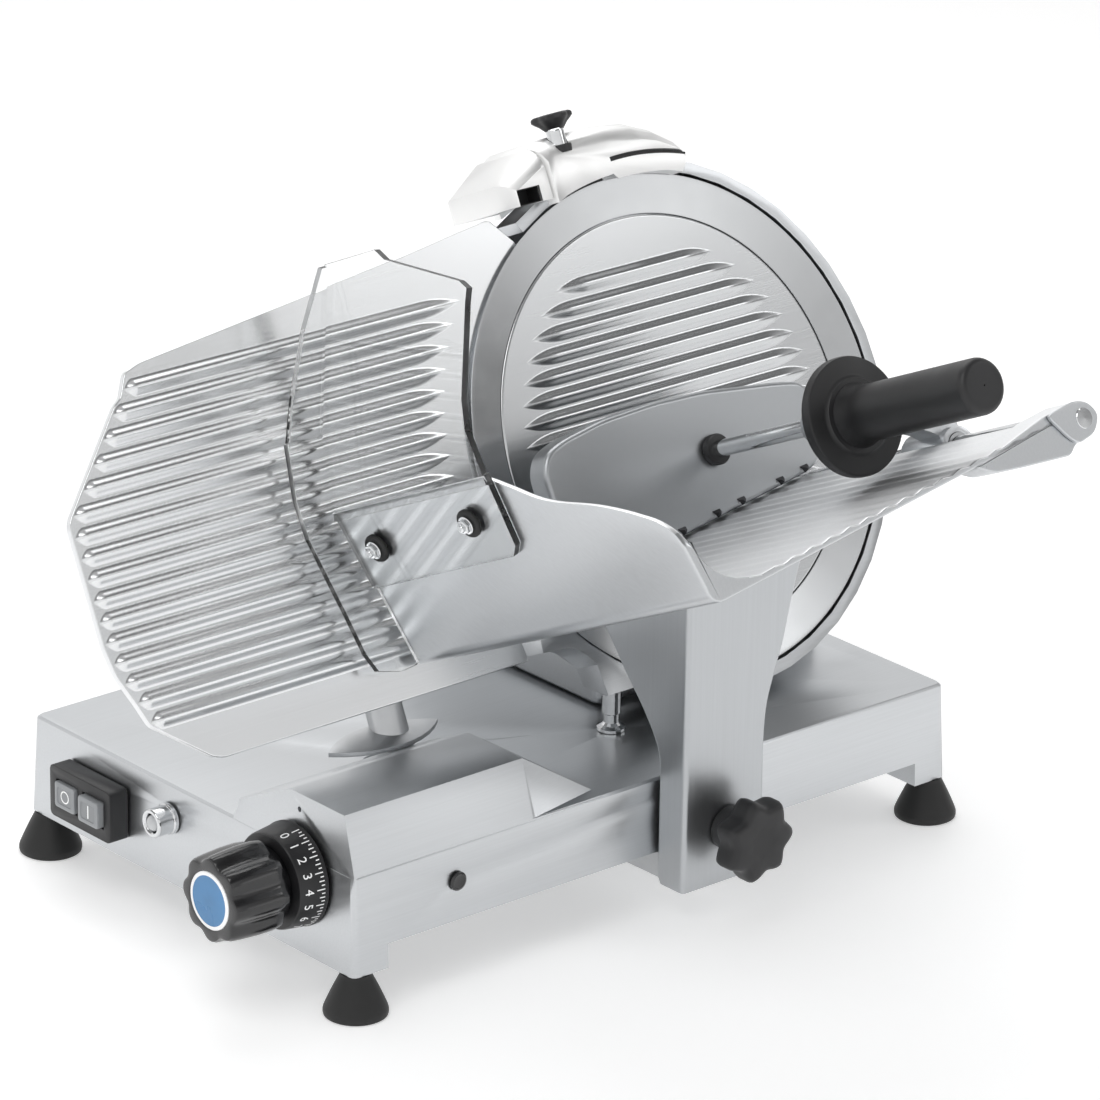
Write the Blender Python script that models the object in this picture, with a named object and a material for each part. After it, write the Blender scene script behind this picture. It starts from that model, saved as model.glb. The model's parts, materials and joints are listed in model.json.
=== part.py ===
"""Gravity-feed deli meat slicer with a 300 mm blade.

Written in millimetres and turned into metres when a mesh is made. +X is the way the carriage runs,
+Y points away from the operator and +Z is up. The origin sits on the table under the middle of the
machine's bounding box, which recentre() works out at the end.
"""
import math

import bmesh
import bpy
from mathutils import Vector

MM = 0.001

# base casting
BASE_LENGTH = 452.0
BASE_DEPTH = 301.0
DECK_Z = 60.0
WALL = 4.5
DRAFT = 2.2
HOUSING_TOP = 93.4
HOUSING_END = 130.0
SKIRT_GAP_Z = 14.5
LEG_WIDTH = 25.0
FOOT_INSET = 8.0
FOOT_HEIGHT = 25.5

# blade
BLADE_CENTRE = (344.6, 124.3, 211.5)
BLADE_TILT = math.radians(25.0)
BLADE_R = 150.0
COVER_R = 126.2
GUARD_IN_R = 152.0
GUARD_OUT_R = 159.0
GUARD_START = math.radians(119.6)
GUARD_END = math.radians(-138.0)
GUARD_BACK = -21.0
PULLEY_R = 48.0
COVER_LOW = 146.4
MOTOR_PULLEY_R = 15.0
MOTOR_OFFSET_X = 25.0
MOTOR_OFFSET_U = -88.0
BELT_THICKNESS = 3.0

# ribs shared by the gauge plate and the blade cover
RIB_PITCH = 12.0
RIB_WIDTH = 8.4
RIB_TOP = -0.5
PLATE_FACE = -3.3
GAUGE_EDGE_R = 146.0
GAUGE_BACK = -7.6

# thickness control
DIAL_Y = 52.0
DIAL_Z = 46.5
GAUGE_TRAVEL = 16.0
CAM_TURN = math.radians(330.0)
CAM_MIN_R = 8.0
GAUGE_ROD = (116.0, 38.0)
GAUGE_ROD_R = 6.0
GAUGE_POST_Y = 101.4

# carriage
FLOOR_SLOPE = 0.147
FLOOR_THICKNESS = 4.0
TRAY_WALL = 4.5
TRAY_FRONT = 277.3
TRAY_BACK = 3.0
TRAY_RIGHT = 40.0
WALL_LEAN = 0.282
COLUMN_LEFT = 221.0
COLUMN_KNOB = (254.0, 31.0)
CARRIAGE_ROD = (70.0, 10.0)
CARRIAGE_ROD_R = 6.0
GUIDE_ROD = (54.0, -52.0)
GUIDE_ROD_R = 6.0
PRESS_ROD = (-26.0, -18.2)
PRESS_ROD_R = 5.0
PRESS_FACE = 57.0
SCREW_SPOTS = ((-17.3, 32.3), (-15.6, 121.6))

GAP = 0.3


class Frame:
    """An origin and two axes; the third axis is their cross product."""

    def __init__(self, origin, u, v):
        self.origin = Vector(origin)
        self.u = Vector(u).normalized()
        self.v = Vector(v).normalized()
        self.w = self.u.cross(self.v)

    def at(self, u, v, w):
        return self.origin + self.u * u + self.v * v + self.w * w

    def moved(self, u, v, w=0.0):
        return Frame(self.at(u, v, w), self.u, self.v)


UP_BLADE = Vector((0.0, math.sin(BLADE_TILT), math.cos(BLADE_TILT)))
WORLD = Frame((0, 0, 0), (1, 0, 0), (0, 1, 0))
ALONG_X = Frame((0, 0, 0), (0, 1, 0), (0, 0, 1))
ALONG_Y = Frame((0, 0, 0), (0, 0, 1), (1, 0, 0))
TO_OPERATOR = Frame((0, 0, 0), (1, 0, 0), (0, 0, 1))
BLADE = Frame(BLADE_CENTRE, (1, 0, 0), UP_BLADE)
BLADE_SIDE = Frame(BLADE_CENTRE, UP_BLADE, BLADE.w)


# ---------------------------------------------------------------- outlines

def box(x0, x1, y0, y1):
    return [(x0, y0), (x1, y0), (x1, y1), (x0, y1)]


def arc(cx, cy, r, start, end, steps):
    """Points from start to end (radians) about (cx, cy)."""
    return [(cx + r * math.cos(start + (end - start) * i / steps),
             cy + r * math.sin(start + (end - start) * i / steps)) for i in range(steps + 1)]


def circle(cx, cy, r, steps=32):
    return arc(cx, cy, r, 0.0, 2 * math.pi, steps)[:-1]


def round_box(x0, x1, y0, y1, r, steps=4):
    quarter = math.pi / 2
    corners = [(x1 - r, y0 + r, -quarter), (x1 - r, y1 - r, 0.0),
               (x0 + r, y1 - r, quarter), (x0 + r, y0 + r, 2 * quarter)]
    points = []
    for cx, cy, start in corners:
        points += arc(cx, cy, r, start, start + quarter, steps)
    return points


def sector(r_in, r_out, start, end, steps):
    return arc(0, 0, r_out, start, end, steps) + arc(0, 0, r_in, end, start, steps)


def leaf(cx, cy, half_length, half_width, steps=10):
    """Two arcs that meet in a point at either end."""
    r = (half_length ** 2 + half_width ** 2) / (2 * half_width)
    spread = math.asin(half_length / r)
    up, down = math.pi / 2, -math.pi / 2
    upper = arc(cx, cy + half_width - r, r, up - spread, up + spread, steps)
    lower = arc(cx, cy - half_width + r, r, down - spread, down + spread, steps)
    return upper[:-1] + lower[:-1]


def lobes(r, depth, count, steps):
    """Outline of a grip with scooped flutes."""
    points = []
    for i in range(count * steps):
        angle = 2 * math.pi * i / (count * steps)
        points.append(((r - depth * (0.5 - 0.5 * math.cos(count * angle)) ** 1.5) * math.cos(angle),
                       (r - depth * (0.5 - 0.5 * math.cos(count * angle)) ** 1.5) * math.sin(angle)))
    return points


def scaled(outline, k, cx=0.0, cy=0.0):
    return [(cx + (x - cx) * k, cy + (y - cy) * k) for x, y in outline]


def belt_outline(r1, r2, dx, dy, steps=20):
    """Outer line of a belt round a pulley r1 at (0, 0) and one of r2 at (dx, dy)."""
    heading = math.atan2(dy, dx)
    half = math.acos((r1 - r2) / math.hypot(dx, dy))
    big = arc(0, 0, r1, heading + half, heading + 2 * math.pi - half, steps)
    return big + arc(dx, dy, r2, heading - half, heading + half, steps // 2)


# ---------------------------------------------------------------- solids

def loft(name, loops, capped=True):
    """A closed mesh through loops of world points, all of one length."""
    size = len(loops[0])
    mesh = bmesh.new()
    rows = [[mesh.verts.new(point * MM) for point in loop] for loop in loops]
    for below, above in zip(rows, rows[1:]):
        for i in range(size):
            j = (i + 1) % size
            mesh.faces.new((below[i], below[j], above[j], above[i]))
    if capped:
        mesh.faces.new(rows[0][::-1])
        mesh.faces.new(rows[-1])
    bmesh.ops.recalc_face_normals(mesh, faces=mesh.faces)
    data = bpy.data.meshes.new(name)
    mesh.to_mesh(data)
    mesh.free()
    made = bpy.data.objects.new(name, data)
    bpy.context.collection.objects.link(made)
    return made


def stack(name, frame, levels):
    """A loft through (outline, w) levels of one frame."""
    return loft(name, [[frame.at(x, y, w) for x, y in outline] for outline, w in levels])


def prism(name, frame, outline, low, high):
    return stack(name, frame, [(outline, low), (outline, high)])


def turned(name, frame, profile, steps=24):
    """A solid of revolution about w, from (radius, w) pairs given along the surface."""
    return stack(name, frame, [(circle(0, 0, r, steps), w) for r, w in profile])


def bore(name, frame, r, low, high, steps=24):
    """A plain round tool about w."""
    return prism(name, frame, circle(0, 0, r, steps), low, high)


def tube(name, frame, profile, steps=32):
    """A ring about w, from a closed loop of (radius, w) pairs."""
    mesh = bmesh.new()
    rings = []
    for i in range(steps):
        angle = 2 * math.pi * i / steps
        rings.append([mesh.verts.new(frame.at(r * math.cos(angle), r * math.sin(angle), w) * MM)
                      for r, w in profile])
    for here, there in zip(rings, rings[1:] + rings[:1]):
        for i in range(len(profile)):
            j = (i + 1) % len(profile)
            mesh.faces.new((here[i], here[j], there[j], there[i]))
    bmesh.ops.recalc_face_normals(mesh, faces=mesh.faces)
    data = bpy.data.meshes.new(name)
    mesh.to_mesh(data)
    mesh.free()
    made = bpy.data.objects.new(name, data)
    bpy.context.collection.objects.link(made)
    return made


def combine(body, tools, operation):
    for tool in tools:
        tool.hide_render = True
        tool.display_type = "WIRE"
        step = body.modifiers.new(operation.lower(), "BOOLEAN")
        step.operation = operation
        step.solver = "MANIFOLD"
        step.object = tool
    return body


def join(body, *tools):
    return combine(body, tools, "UNION")


def cut(body, *tools):
    return combine(body, tools, "DIFFERENCE")


def rib(name, frame, v, start, end):
    """A raised rib along u, thinned at both ends so that it fades into the plate."""
    half = RIB_WIDTH / 2
    foot = PLATE_FACE - 1.0
    tops = [(half, PLATE_FACE), (half * 0.45, RIB_TOP), (-half * 0.45, RIB_TOP), (-half, PLATE_FACE)]
    loops = []
    for u, rise in ((start, 0.1), (start + 6, 1.0), (end - 6, 1.0), (end, 0.1)):
        loop = [(half, foot)] + [(dv, PLATE_FACE + (w - PLATE_FACE) * rise) for dv, w in tops]
        loop.append((-half, foot))
        loops.append([frame.at(u, v + dv * (0.4 + 0.6 * rise), w) for dv, w in loop])
    return loft(name, loops)


# ---------------------------------------------------------------- base

def housing_loop(x, inset, flat=None):
    """The raised front-left housing's section at x; flat clips it to that height."""
    points = [(8, 40), (3 + inset, 57), (2.6 + inset, 60), (13 + inset, HOUSING_TOP - inset),
              (60.3 - inset / 2, HOUSING_TOP - inset), (105 - inset, 72.7 - inset), (111 - inset, 58),
              (111 - inset, 40)]
    lean = [0.04 * (z - DECK_Z) for y, z in points]
    if flat is not None:
        points = [(y, min(z, flat - 0.02 * i)) for i, (y, z) in enumerate(points)]
    return [Vector((x + dx, y, z)) for (y, z), dx in zip(points, lean)]


def base_casting():
    def floor_plan(inset, r):
        return round_box(inset, BASE_LENGTH - inset, inset, BASE_DEPTH - inset, r, 3)

    body = stack("base_casting", WORLD, [(floor_plan(0, 4), 0), (floor_plan(DRAFT - 0.1, 4), DECK_Z - 1.5),
                                         (floor_plan(DRAFT + 1.2, 4), DECK_Z)])
    raised = loft("tool_housing", [housing_loop(2.3, 0), housing_loop(HOUSING_END, 0),
                                   housing_loop(183, 0, DECK_Z - 0.5)])
    join(body, raised)
    hollow = stack("tool_hollow", WORLD, [(floor_plan(WALL, 3), -1),
                                          (floor_plan(WALL + DRAFT, 3), DECK_Z - WALL)])
    raised_hollow = loft("tool_housing_hollow", [housing_loop(7.5, WALL), housing_loop(HOUSING_END - 4, WALL),
                                                 housing_loop(172, WALL, DECK_Z - WALL - 1)])
    cut(body, hollow, raised_hollow)
    legs = []
    for i, (x, y) in enumerate(corner_points(0)):
        x0, y0 = (3, BASE_LENGTH - LEG_WIDTH)[x > 200], (3, BASE_DEPTH - LEG_WIDTH)[y > 200]
        side = LEG_WIDTH - 3
        legs.append(prism("tool_leg_%d" % i, WORLD, box(x0, x0 + side, y0, y0 + side), 0.0, 30))
    rod_y = CARRIAGE_ROD[0]
    for i, (x0, x1) in enumerate(((3, 24), (BASE_LENGTH - 24, BASE_LENGTH - 3))):
        legs.append(prism("tool_rod_boss_%d" % i, ALONG_X, box(rod_y - 10, rod_y + 10, 0.0, 20), x0, x1))
    for i, (y0, y1) in enumerate(((4, 24), (148, 162))):
        legs.append(prism("tool_gauge_boss_%d" % i, WORLD,
                          box(GAUGE_ROD[0] - 9, GAUGE_ROD[0] + 9, y0, y1), 29, 57))
    join(body, *legs)
    cut(body, *base_openings())
    return body


def post_slot(z):
    """The slot's outline at height z: it leans with the gauge plate's post."""
    y = GAUGE_POST_Y + (z - DECK_Z) * math.tan(BLADE_TILT)
    return round_box(103.5, 128.5, y - 12.4, y + 12.4 + GAUGE_TRAVEL, 12, 5)


def base_openings():
    rod_y, rod_z = CARRIAGE_ROD
    tools = [
        prism("tool_skirt_gap", WORLD, box(LEG_WIDTH, BASE_LENGTH - LEG_WIDTH, -5, 9), -5, SKIRT_GAP_Z),
        stack("tool_slot", WORLD, [(post_slot(z), z) for z in (40, 84)]),
        prism("tool_motor_hole", WORLD, round_box(296, 426, 140, 276, 8), 40, 70),
        prism("tool_switch_hole", ALONG_X, box(211, 259, 18, 40), -5, 12),
        turned("tool_dial_hole", ALONG_X.moved(DIAL_Y, DIAL_Z), [(5.4, -5), (5.4, 12)], 24),
        turned("tool_lamp_hole", ALONG_X.moved(168, 39.5), [(6.2, -5), (6.2, 12)], 24),
        turned("tool_pointer_hole", ALONG_X.moved(52, 84), [(1.6, -5), (1.6, 6)], 12),
        turned("tool_plug_hole", TO_OPERATOR.moved(75, 38.3), [(4.6, -15), (4.6, 5)], 24),
        bore("tool_rod_bore", ALONG_X.moved(rod_y, rod_z), CARRIAGE_ROD_R + GAP, 6, BASE_LENGTH - 6),
        bore("tool_gauge_bore", ALONG_Y.moved(GAUGE_ROD[1], GAUGE_ROD[0]), GAUGE_ROD_R + GAP, 9, 156),
        turned("tool_post_bore", WORLD.moved(250, 72.5), [(3.3, 40), (3.3, 70)], 16),
    ]
    for i, (x, y) in enumerate(corner_points(FOOT_INSET)):
        tools.append(turned("tool_foot_bore_%d" % i, WORLD.moved(x, y), [(4.3, -5), (4.3, 14)], 16))
    return tools


def corner_points(inset):
    return [(x, y) for y in (inset, BASE_DEPTH - inset) for x in (inset, BASE_LENGTH - inset)]


def feet():
    profile = [(18.5, -FOOT_HEIGHT), (18.5, -FOOT_HEIGHT + 4.5), (12.6, -8.5), (9.2, -2.5), (8.8, -GAP),
               (4.0, -GAP), (4.0, 13)]
    for name, (x, y) in zip(("foot_front_left", "foot_front_right", "foot_back_left", "foot_back_right"),
                            corner_points(FOOT_INSET)):
        turned(name, WORLD.moved(x, y), profile, 20)


# ---------------------------------------------------------------- blade and its drive

def plane_point(u, h):
    """(y, z) of a point u up the blade's plane and h in front of it."""
    point = BLADE.at(0, u, h)
    return point.y, point.z


def motor_housing():
    front = GUARD_BACK - GAP
    outer = [(98, DECK_Z + GAP), (98, 96), plane_point(-104, front), plane_point(60, front), (190, 262),
             (222, 252), (284, 172), (291, 150), (293, DECK_Z + GAP)]
    front -= 5
    inner = [(103, 40), (103, 96), plane_point(-104, front), plane_point(54, front), (190, 256),
             (219, 247), (279, 169), (286, 149), (288, 40)]
    body = prism("motor_housing", ALONG_X, outer, 262, 438)
    bevel = body.modifiers.new("rounded", "BEVEL")
    bevel.width = 7 * MM
    bevel.segments = 3
    bevel.limit_method = "ANGLE"
    bevel.angle_limit = math.radians(60)
    cut(body, prism("tool_housing_inside", ALONG_X, inner, 267, 433),
        turned("tool_hub_window", BLADE, [(41, -40), (41, -10)]),
        turned("tool_tie_exit", BLADE, [(5, -240), (5, -80)], 16))
    return body


def blade_guard():
    """Ring round the blade's rim with the plate behind it and the leg that stands on the post."""
    back = sector(46, GUARD_OUT_R, GUARD_START, GUARD_END, 30)
    ring = sector(GUARD_IN_R, GUARD_OUT_R, GUARD_START, GUARD_END, 30)
    plate = prism("blade_guard", BLADE, back, GUARD_BACK, -15.5)
    rim = prism("tool_rim", BLADE, ring, GUARD_BACK, 0.5)
    outline = [(-118, -94), (-141, -97), (-141.5, -104.3), (-122, -105.8), (-113.5, -110), (-106, -120),
               (-104, -139), (-84, -139), (-88, -127), (-92, -116), (-104, -104)]
    leg = prism("tool_guard_leg", BLADE, outline, -19, 1)
    section = [(40, GUARD_BACK), (143.4, GUARD_BACK), (143.4, -15.5), (40, -15.5)]
    disc = tube("tool_back_disc", BLADE, section, 48)
    join(plate, rim, leg, disc)
    cut(plate, prism("tool_leg_foot", WORLD, box(220, 270, 40, 110), 60, 85),
        prism("tool_deck_clearance", WORLD, box(270, 500, 20, 200), 40, DECK_Z + 1.5),
        bore("tool_blade_space", BLADE, GUARD_IN_R - 0.2, -15.2, 10, 48))


def blade_parts():
    tube("blade", BLADE, [(26, -13), (26, -9.5), (112, -9.5), (118, -7.2), (126.8, -7.0), (126.8, -3.6),
                          (BLADE_R - 3, -0.6), (BLADE_R, -0.3),
                          (BLADE_R, -0.9), (128, -9.6), (120, -13)], 48)
    cover = turned("blade_cover", BLADE, [(14, -9.2), (14, -6.4), (COVER_R - 12, -6.2), (COVER_R, -4.6),
                                          (COVER_R, -3.9), (COVER_R - 1.5, PLATE_FACE)], 44)
    ribs = []
    for i in range(17):
        v = 94 - i * (RIB_PITCH - 0.1)
        half = math.sqrt(110 ** 2 - v ** 2)
        ribs.append(rib("tool_cover_rib_%d" % i, BLADE, v, -half, half))
    join(cover, *ribs)
    cut(cover, turned("tool_tie_thread", BLADE, [(3.3, -12), (3.3, -6.8)], 16))


def drive_parts():
    """Hub pulley on a fixed axle, belt, motor and the plate that carries both."""
    axle = turned("blade_axle", BLADE, [(20, -57.7), (20, -54), (12, -54), (12, -15)], 28)
    cut(axle, turned("tool_axle_bore", BLADE, [(4.3, -70), (4.3, 0)], 16))
    tube("blade_pulley", BLADE, [(19.6, -52), (PULLEY_R, -52), (PULLEY_R, -30), (30, -30), (30, -26),
                                 (36, -22), (36, -13.3), (16, -13.3), (16, -20), (19.6, -20)], 32)
    for name, low in (("bearing_front", -30), ("bearing_rear", -50)):
        tube(name, BLADE, [(12.3, low), (19.3, low), (19.3, low + 8), (12.3, low + 8)], 28)
    motor = BLADE.moved(MOTOR_OFFSET_X, MOTOR_OFFSET_U)
    inside, outside = [belt_outline(PULLEY_R + r, MOTOR_PULLEY_R + r, MOTOR_OFFSET_X, MOTOR_OFFSET_U, 24)
                       for r in (GAP, GAP + BELT_THICKNESS)]
    belt = prism("drive_belt", BLADE, outside, -47, -35)
    cut(belt, prism("tool_belt_inside", BLADE, inside, -60, -20))
    turned("motor_shaft", motor, [(5.5, -150), (5.5, -50), (MOTOR_PULLEY_R, -50), (MOTOR_PULLEY_R, -32)], 28)
    body = turned("motor_body", motor, [(30, -152), (40, -147), (42, -140), (42, -72), (38, -66), (20, -66),
                                        (20, -64)], 32)
    cut(body, turned("tool_motor_bore", motor, [(5.8, -150.6), (5.8, -50)], 24))
    carrier = prism("drive_plate", BLADE, round_box(-34, 80, -118, 34, 12), -63.7, -58)
    cut(carrier, turned("tool_plate_shaft_hole", motor, [(8, -70), (8, -50)], 20),
        turned("tool_plate_tie_hole", BLADE, [(4.3, -70), (4.3, -50)], 16))
    for i, v in enumerate((-70, 20)):
        join(carrier, prism("tool_lug_%d" % i, BLADE, box(-77.2, 88, v - 8, v + 8), -63.7, -58))
    turned("tie_rod", BLADE, [(3.0, -203.5), (3.0, -7.1)], 16)
    grip = lobes(15, 2.5, 6, 4)
    knob = stack("tie_rod_knob", BLADE, [(scaled(grip, 0.8), -212), (grip, -210), (grip, -199),
                                         (scaled(grip, 0.8), -196)])
    cut(knob, turned("tool_knob_bore", BLADE, [(3.3, -204), (3.3, -190)], 16))
    turned("motor_capacitor", ALONG_X.moved(225, 30), [(15, 300), (16, 302), (16, 372), (15, 374)], 24)


def ring_post():
    profile = [(3.0, 45), (3.0, DECK_Z + GAP), (8.5, DECK_Z + GAP), (8.5, 62), (6.0, 63.5), (4.6, 65),
               (4.6, 70), (5.6, 71), (5.6, 84.4)]
    turned("guard_post", WORLD.moved(250, 72.5), profile, 16)


# ---------------------------------------------------------------- thickness control

def gauge_outline():
    """The plate's shape: its corner clears the sharpener and its edge lies behind the blade's."""
    top = [(-374, 99), (-367, 112), (-356, 115.5), (-241, 127.4), (-160, 136.2), (-119, 141.6),
           (-94.5, 144.3)]
    rim = arc(0, 0, GAUGE_EDGE_R, math.radians(121.6), math.radians(190), 14)
    rest = [(-155, -70), (-149, -106.6), (-370, -107.4), (-377, -105.3), (-412, -79), (-417, -66),
            (-425, -48.2), (-428, -31.4), (-429, 37), (-427, 42), (-379, 96)]
    return top + rim + rest


def outline_left(outline, v):
    """Where the outline's left edge crosses height v."""
    crossings = []
    for (x0, y0), (x1, y1) in zip(outline, outline[1:] + outline[:1]):
        if (y0 > v) != (y1 > v):
            crossings.append(x0 + (x1 - x0) * (v - y0) / (y1 - y0))
    return min(crossings)


def gauge_plate():
    outline = gauge_outline()
    plate = prism("gauge_plate", BLADE, outline, GAUGE_BACK, PLATE_FACE)
    ribs = []
    for i in range(16):
        v = 103 - i * RIB_PITCH
        right = -math.sqrt(172 ** 2 - v ** 2)
        ribs.append(rib("tool_gauge_rib_%d" % i, BLADE, v, outline_left(outline, v) + 7, right))
    join(plate, *ribs)


def gauge_bracket():
    """Slide block on its rod, the post through the slot and the head behind the plate."""
    body = prism("gauge_bracket", BLADE, round_box(-248, -209, -98, -52, 6), -54, GAUGE_BACK - GAP)
    down_blade = Frame(BLADE.at(-228.6, 0, -43.3), (1, 0, 0), -BLADE.w)
    stem = bore("tool_gauge_stem", down_blade, 11, -164, -60, 28)
    block = prism("tool_gauge_block", WORLD, box(98, 134, 80, 119), 25, 54)
    arm = prism("tool_follower_arm", WORLD, box(99, 106, 58, 90), 42, 51)
    roller_y = DIAL_Y + CAM_MIN_R + 0.5 + 3
    pin = turned("tool_follower", ALONG_X.moved(roller_y, DIAL_Z), [(3, 91), (3, 101)], 20)
    flange = prism("tool_post_flange", WORLD, leaf(106, 105, 40, 16), 80.6, 83.2)
    join(body, stem, block, arm, pin, flange)
    rod = ALONG_Y.moved(GAUGE_ROD[1], GAUGE_ROD[0])
    cut(body, bore("tool_gauge_block_bore", rod, GAUGE_ROD_R + GAP, 50, 150))
    bore("gauge_rod", rod, GAUGE_ROD_R, 9.5, 155.5)


def dial_parts():
    dial = ALONG_X.moved(DIAL_Y, DIAL_Z)
    steps = 44
    snail = []
    for i in range(steps + 1):
        turn = CAM_TURN * i / steps
        r = CAM_MIN_R + GAUGE_TRAVEL * i / steps
        snail.append((r * math.cos(-turn), r * math.sin(-turn)))
    snail.append((CAM_MIN_R * math.cos(-CAM_TURN - 0.2), CAM_MIN_R * math.sin(-CAM_TURN - 0.2)))
    shaft = turned("index_cam", dial, [(5, -20), (5, 110)], 20)
    join(shaft, prism("tool_snail", dial, snail, 92, 97))
    skirt = turned("dial_skirt", dial, [(30.5, 0.2), (30.5, -1.4), (28.5, -17.5), (26.5, -18.5)], 48)
    cut(skirt, turned("tool_skirt_bore", dial, [(5.3, -30), (5.3, 10)], 20))
    fluted = lobes(27, 3.0, 10, 5)
    levels = ((0.82, -60), (0.93, -58), (0.97, -52), (1.0, -24), (0.9, -18.8))
    knob = stack("dial_knob", dial, [(scaled(fluted, size), w) for size, w in levels])
    cut(knob, turned("tool_knob_shaft", dial, [(5.3, -21), (5.3, 0)], 20),
        turned("tool_badge_seat", dial, [(17.3, -70), (17.3, -58.5)], 32))
    turned("dial_badge", dial, [(17, -60.3), (17, -58.8)], 32)


# ---------------------------------------------------------------- switch, lamp, plug

def switch_parts():
    bezel = prism("switch_bezel", ALONG_X, round_box(206, 264, 13, 45, 3, 2), -13, 0.1)
    join(bezel, prism("tool_switch_box", ALONG_X, box(212, 258, 19, 39), -1, 42))
    pockets = []
    for name, y0, face in (("button_on", 212.5, -17.5), ("button_off", 237.5, -15.5)):
        pockets.append(prism("tool_pocket_" + name, ALONG_X, box(y0, y0 + 20, 20.5, 37.5), -30, -6))
        prism(name, ALONG_X, round_box(y0 + 0.5, y0 + 19.5, 21, 37, 2, 2), face, -9.5)
    cut(bezel, *pockets)
    lamp = ALONG_X.moved(168, 39.5)
    tube("lamp_ring", lamp, [(5.8, 10), (5.8, 0.7), (9.3, 0.7), (9.3, -2), (8.4, -12), (6.6, -12.5),
                             (5.2, -11), (5.2, 10)], 28)
    turned("lamp_lens", lamp, [(4.9, 6), (4.9, -10.5), (4.0, -12.5), (2.0, -13.6)], 24)
    plug = TO_OPERATOR.moved(75, 38.3)
    turned("front_plug", plug, [(4.3, -8), (4.3, -0.9), (5.6, -0.9), (5.6, 0.2), (4.6, 0.8)], 20)


# ---------------------------------------------------------------- carriage

def floor_under(a):
    """Height of the tray floor's underside, in the blade's plane axes."""
    return -85.9 + FLOOR_SLOPE * (a + 198.6)


def wall_outside(u):
    return -232.8 - WALL_LEAN * (u + 88.8)


def tray():
    top = FLOOR_THICKNESS
    section = [(TRAY_RIGHT, floor_under(TRAY_RIGHT)), (TRAY_RIGHT, floor_under(TRAY_RIGHT) + top),
               (-186, floor_under(-186) + top), (-204, -82.0), (-216, -79.6), (-226, -74), (-233, -65),
               (wall_outside(-52) + TRAY_WALL, -52), (wall_outside(6) + TRAY_WALL, 6), (wall_outside(6), 6),
               (wall_outside(-82), -82), (-231.5, -88.0), (-227, -90.0)]
    body = prism("tray", BLADE, section, TRAY_BACK, TRAY_FRONT)
    front = [(-30, -61), (27, -45), (50, -41.5), (60, -43.5), (65.5, -52), (60, -61), (46, -65), (41, -70),
             (3, -68.5), (-17, -67)]
    block = prism("tool_front_block", BLADE, front, 257, TRAY_FRONT)
    rear = [(30, floor_under(30) + 0.5), (48, -60), (60, -60), (64, -52), (60, -44), (50, -42.5), (44, -47),
            (30, -49)]
    lug = prism("tool_rear_lug", BLADE, rear, TRAY_BACK, 15)
    join(body, block, lug)
    rim = [(8, 140), (7, 145), (-13, 182), (-24.5, 227), (-33.5, 252), (-42, 268), (-51, 275.5), (-62, 279),
           (-62, 300), (40, 300), (40, 140)]
    cut(body, prism("tool_rim_curve", BLADE_SIDE, rim, -280, -200),
        bore("tool_guide_bore", BLADE.moved(*GUIDE_ROD), GUIDE_ROD_R + GAP, 5.5, 290))
    for i, (u, h) in enumerate(SCREW_SPOTS):
        cut(body, bore("tool_wall_hole_%d" % i, wall_frame(u, h), 2.8, -10, 10, 12))


def wall_frame(u, h):
    """On the tray wall's outer face, w pointing out to the left."""
    return Frame(BLADE.at(wall_outside(u), u, h), BLADE.w, BLADE.v - BLADE.u * WALL_LEAN)


def carriage_column():
    sections = [(-3.5, 283.8, -3.0), (1, 283.8, -1.5), (60, 282.0, -1.5), (80, 282.2, 1.0),
                (100, 284.2, 14.0), (115, 288.5, 27.5), (135, 295.0, 44.0), (160, 301.0, 64.0),
                (215, 316.0, 90.0)]
    levels = []
    for z, right, back in sections:
        levels.append((round_box(COLUMN_LEFT, right, -24.5, back, 3.5, 3), z))
    body = stack("carriage_column", WORLD, levels)
    clear = [(-260, floor_under(-198) - 9), (-198, floor_under(-198) - GAP), (80, floor_under(80) - GAP),
             (80, 80), (-260, 80)]
    cut(body, prism("tool_under_tray", BLADE, clear, -50, 320),
        bore("tool_stud_bore", TO_OPERATOR.moved(*COLUMN_KNOB), 4.3, -5, 40, 20))


def carriage_parts():
    rod_y, rod_z = CARRIAGE_ROD
    slider = prism("carriage_slider", WORLD, box(227, 277, -1.2, 60), -3.5, 12)
    block = prism("tool_slider_block", ALONG_X, round_box(54, 86, -3.5, 20, 3, 2), 222, 282)
    join(slider, block)
    along = ALONG_X.moved(rod_y, rod_z)
    cut(slider, turned("tool_slider_bore", along, [(8.3, 200), (8.3, 300)], 24))
    for name, low in (("bushing_left", 222.5), ("bushing_right", 262.5)):
        inner = CARRIAGE_ROD_R + GAP
        tube(name, along, [(inner, low), (8.0, low), (8.0, low + 19), (inner, low + 19)], 24)
    turned("carriage_rod", along, [(CARRIAGE_ROD_R, 6.5), (CARRIAGE_ROD_R, BASE_LENGTH - 6.5)], 24)
    front = TO_OPERATOR.moved(*COLUMN_KNOB)
    grip = lobes(25.5, 4.5, 8, 5)
    levels = [(scaled(grip, 0.86), 38), (grip, 41), (grip, 53), (scaled(grip, 0.88), 56)]
    knob = stack("column_knob", front, levels)
    join(knob, turned("tool_knob_boss", front, [(4.0, 4.5), (4.0, 24.9), (13, 24.9), (14.5, 39)], 28))


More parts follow.
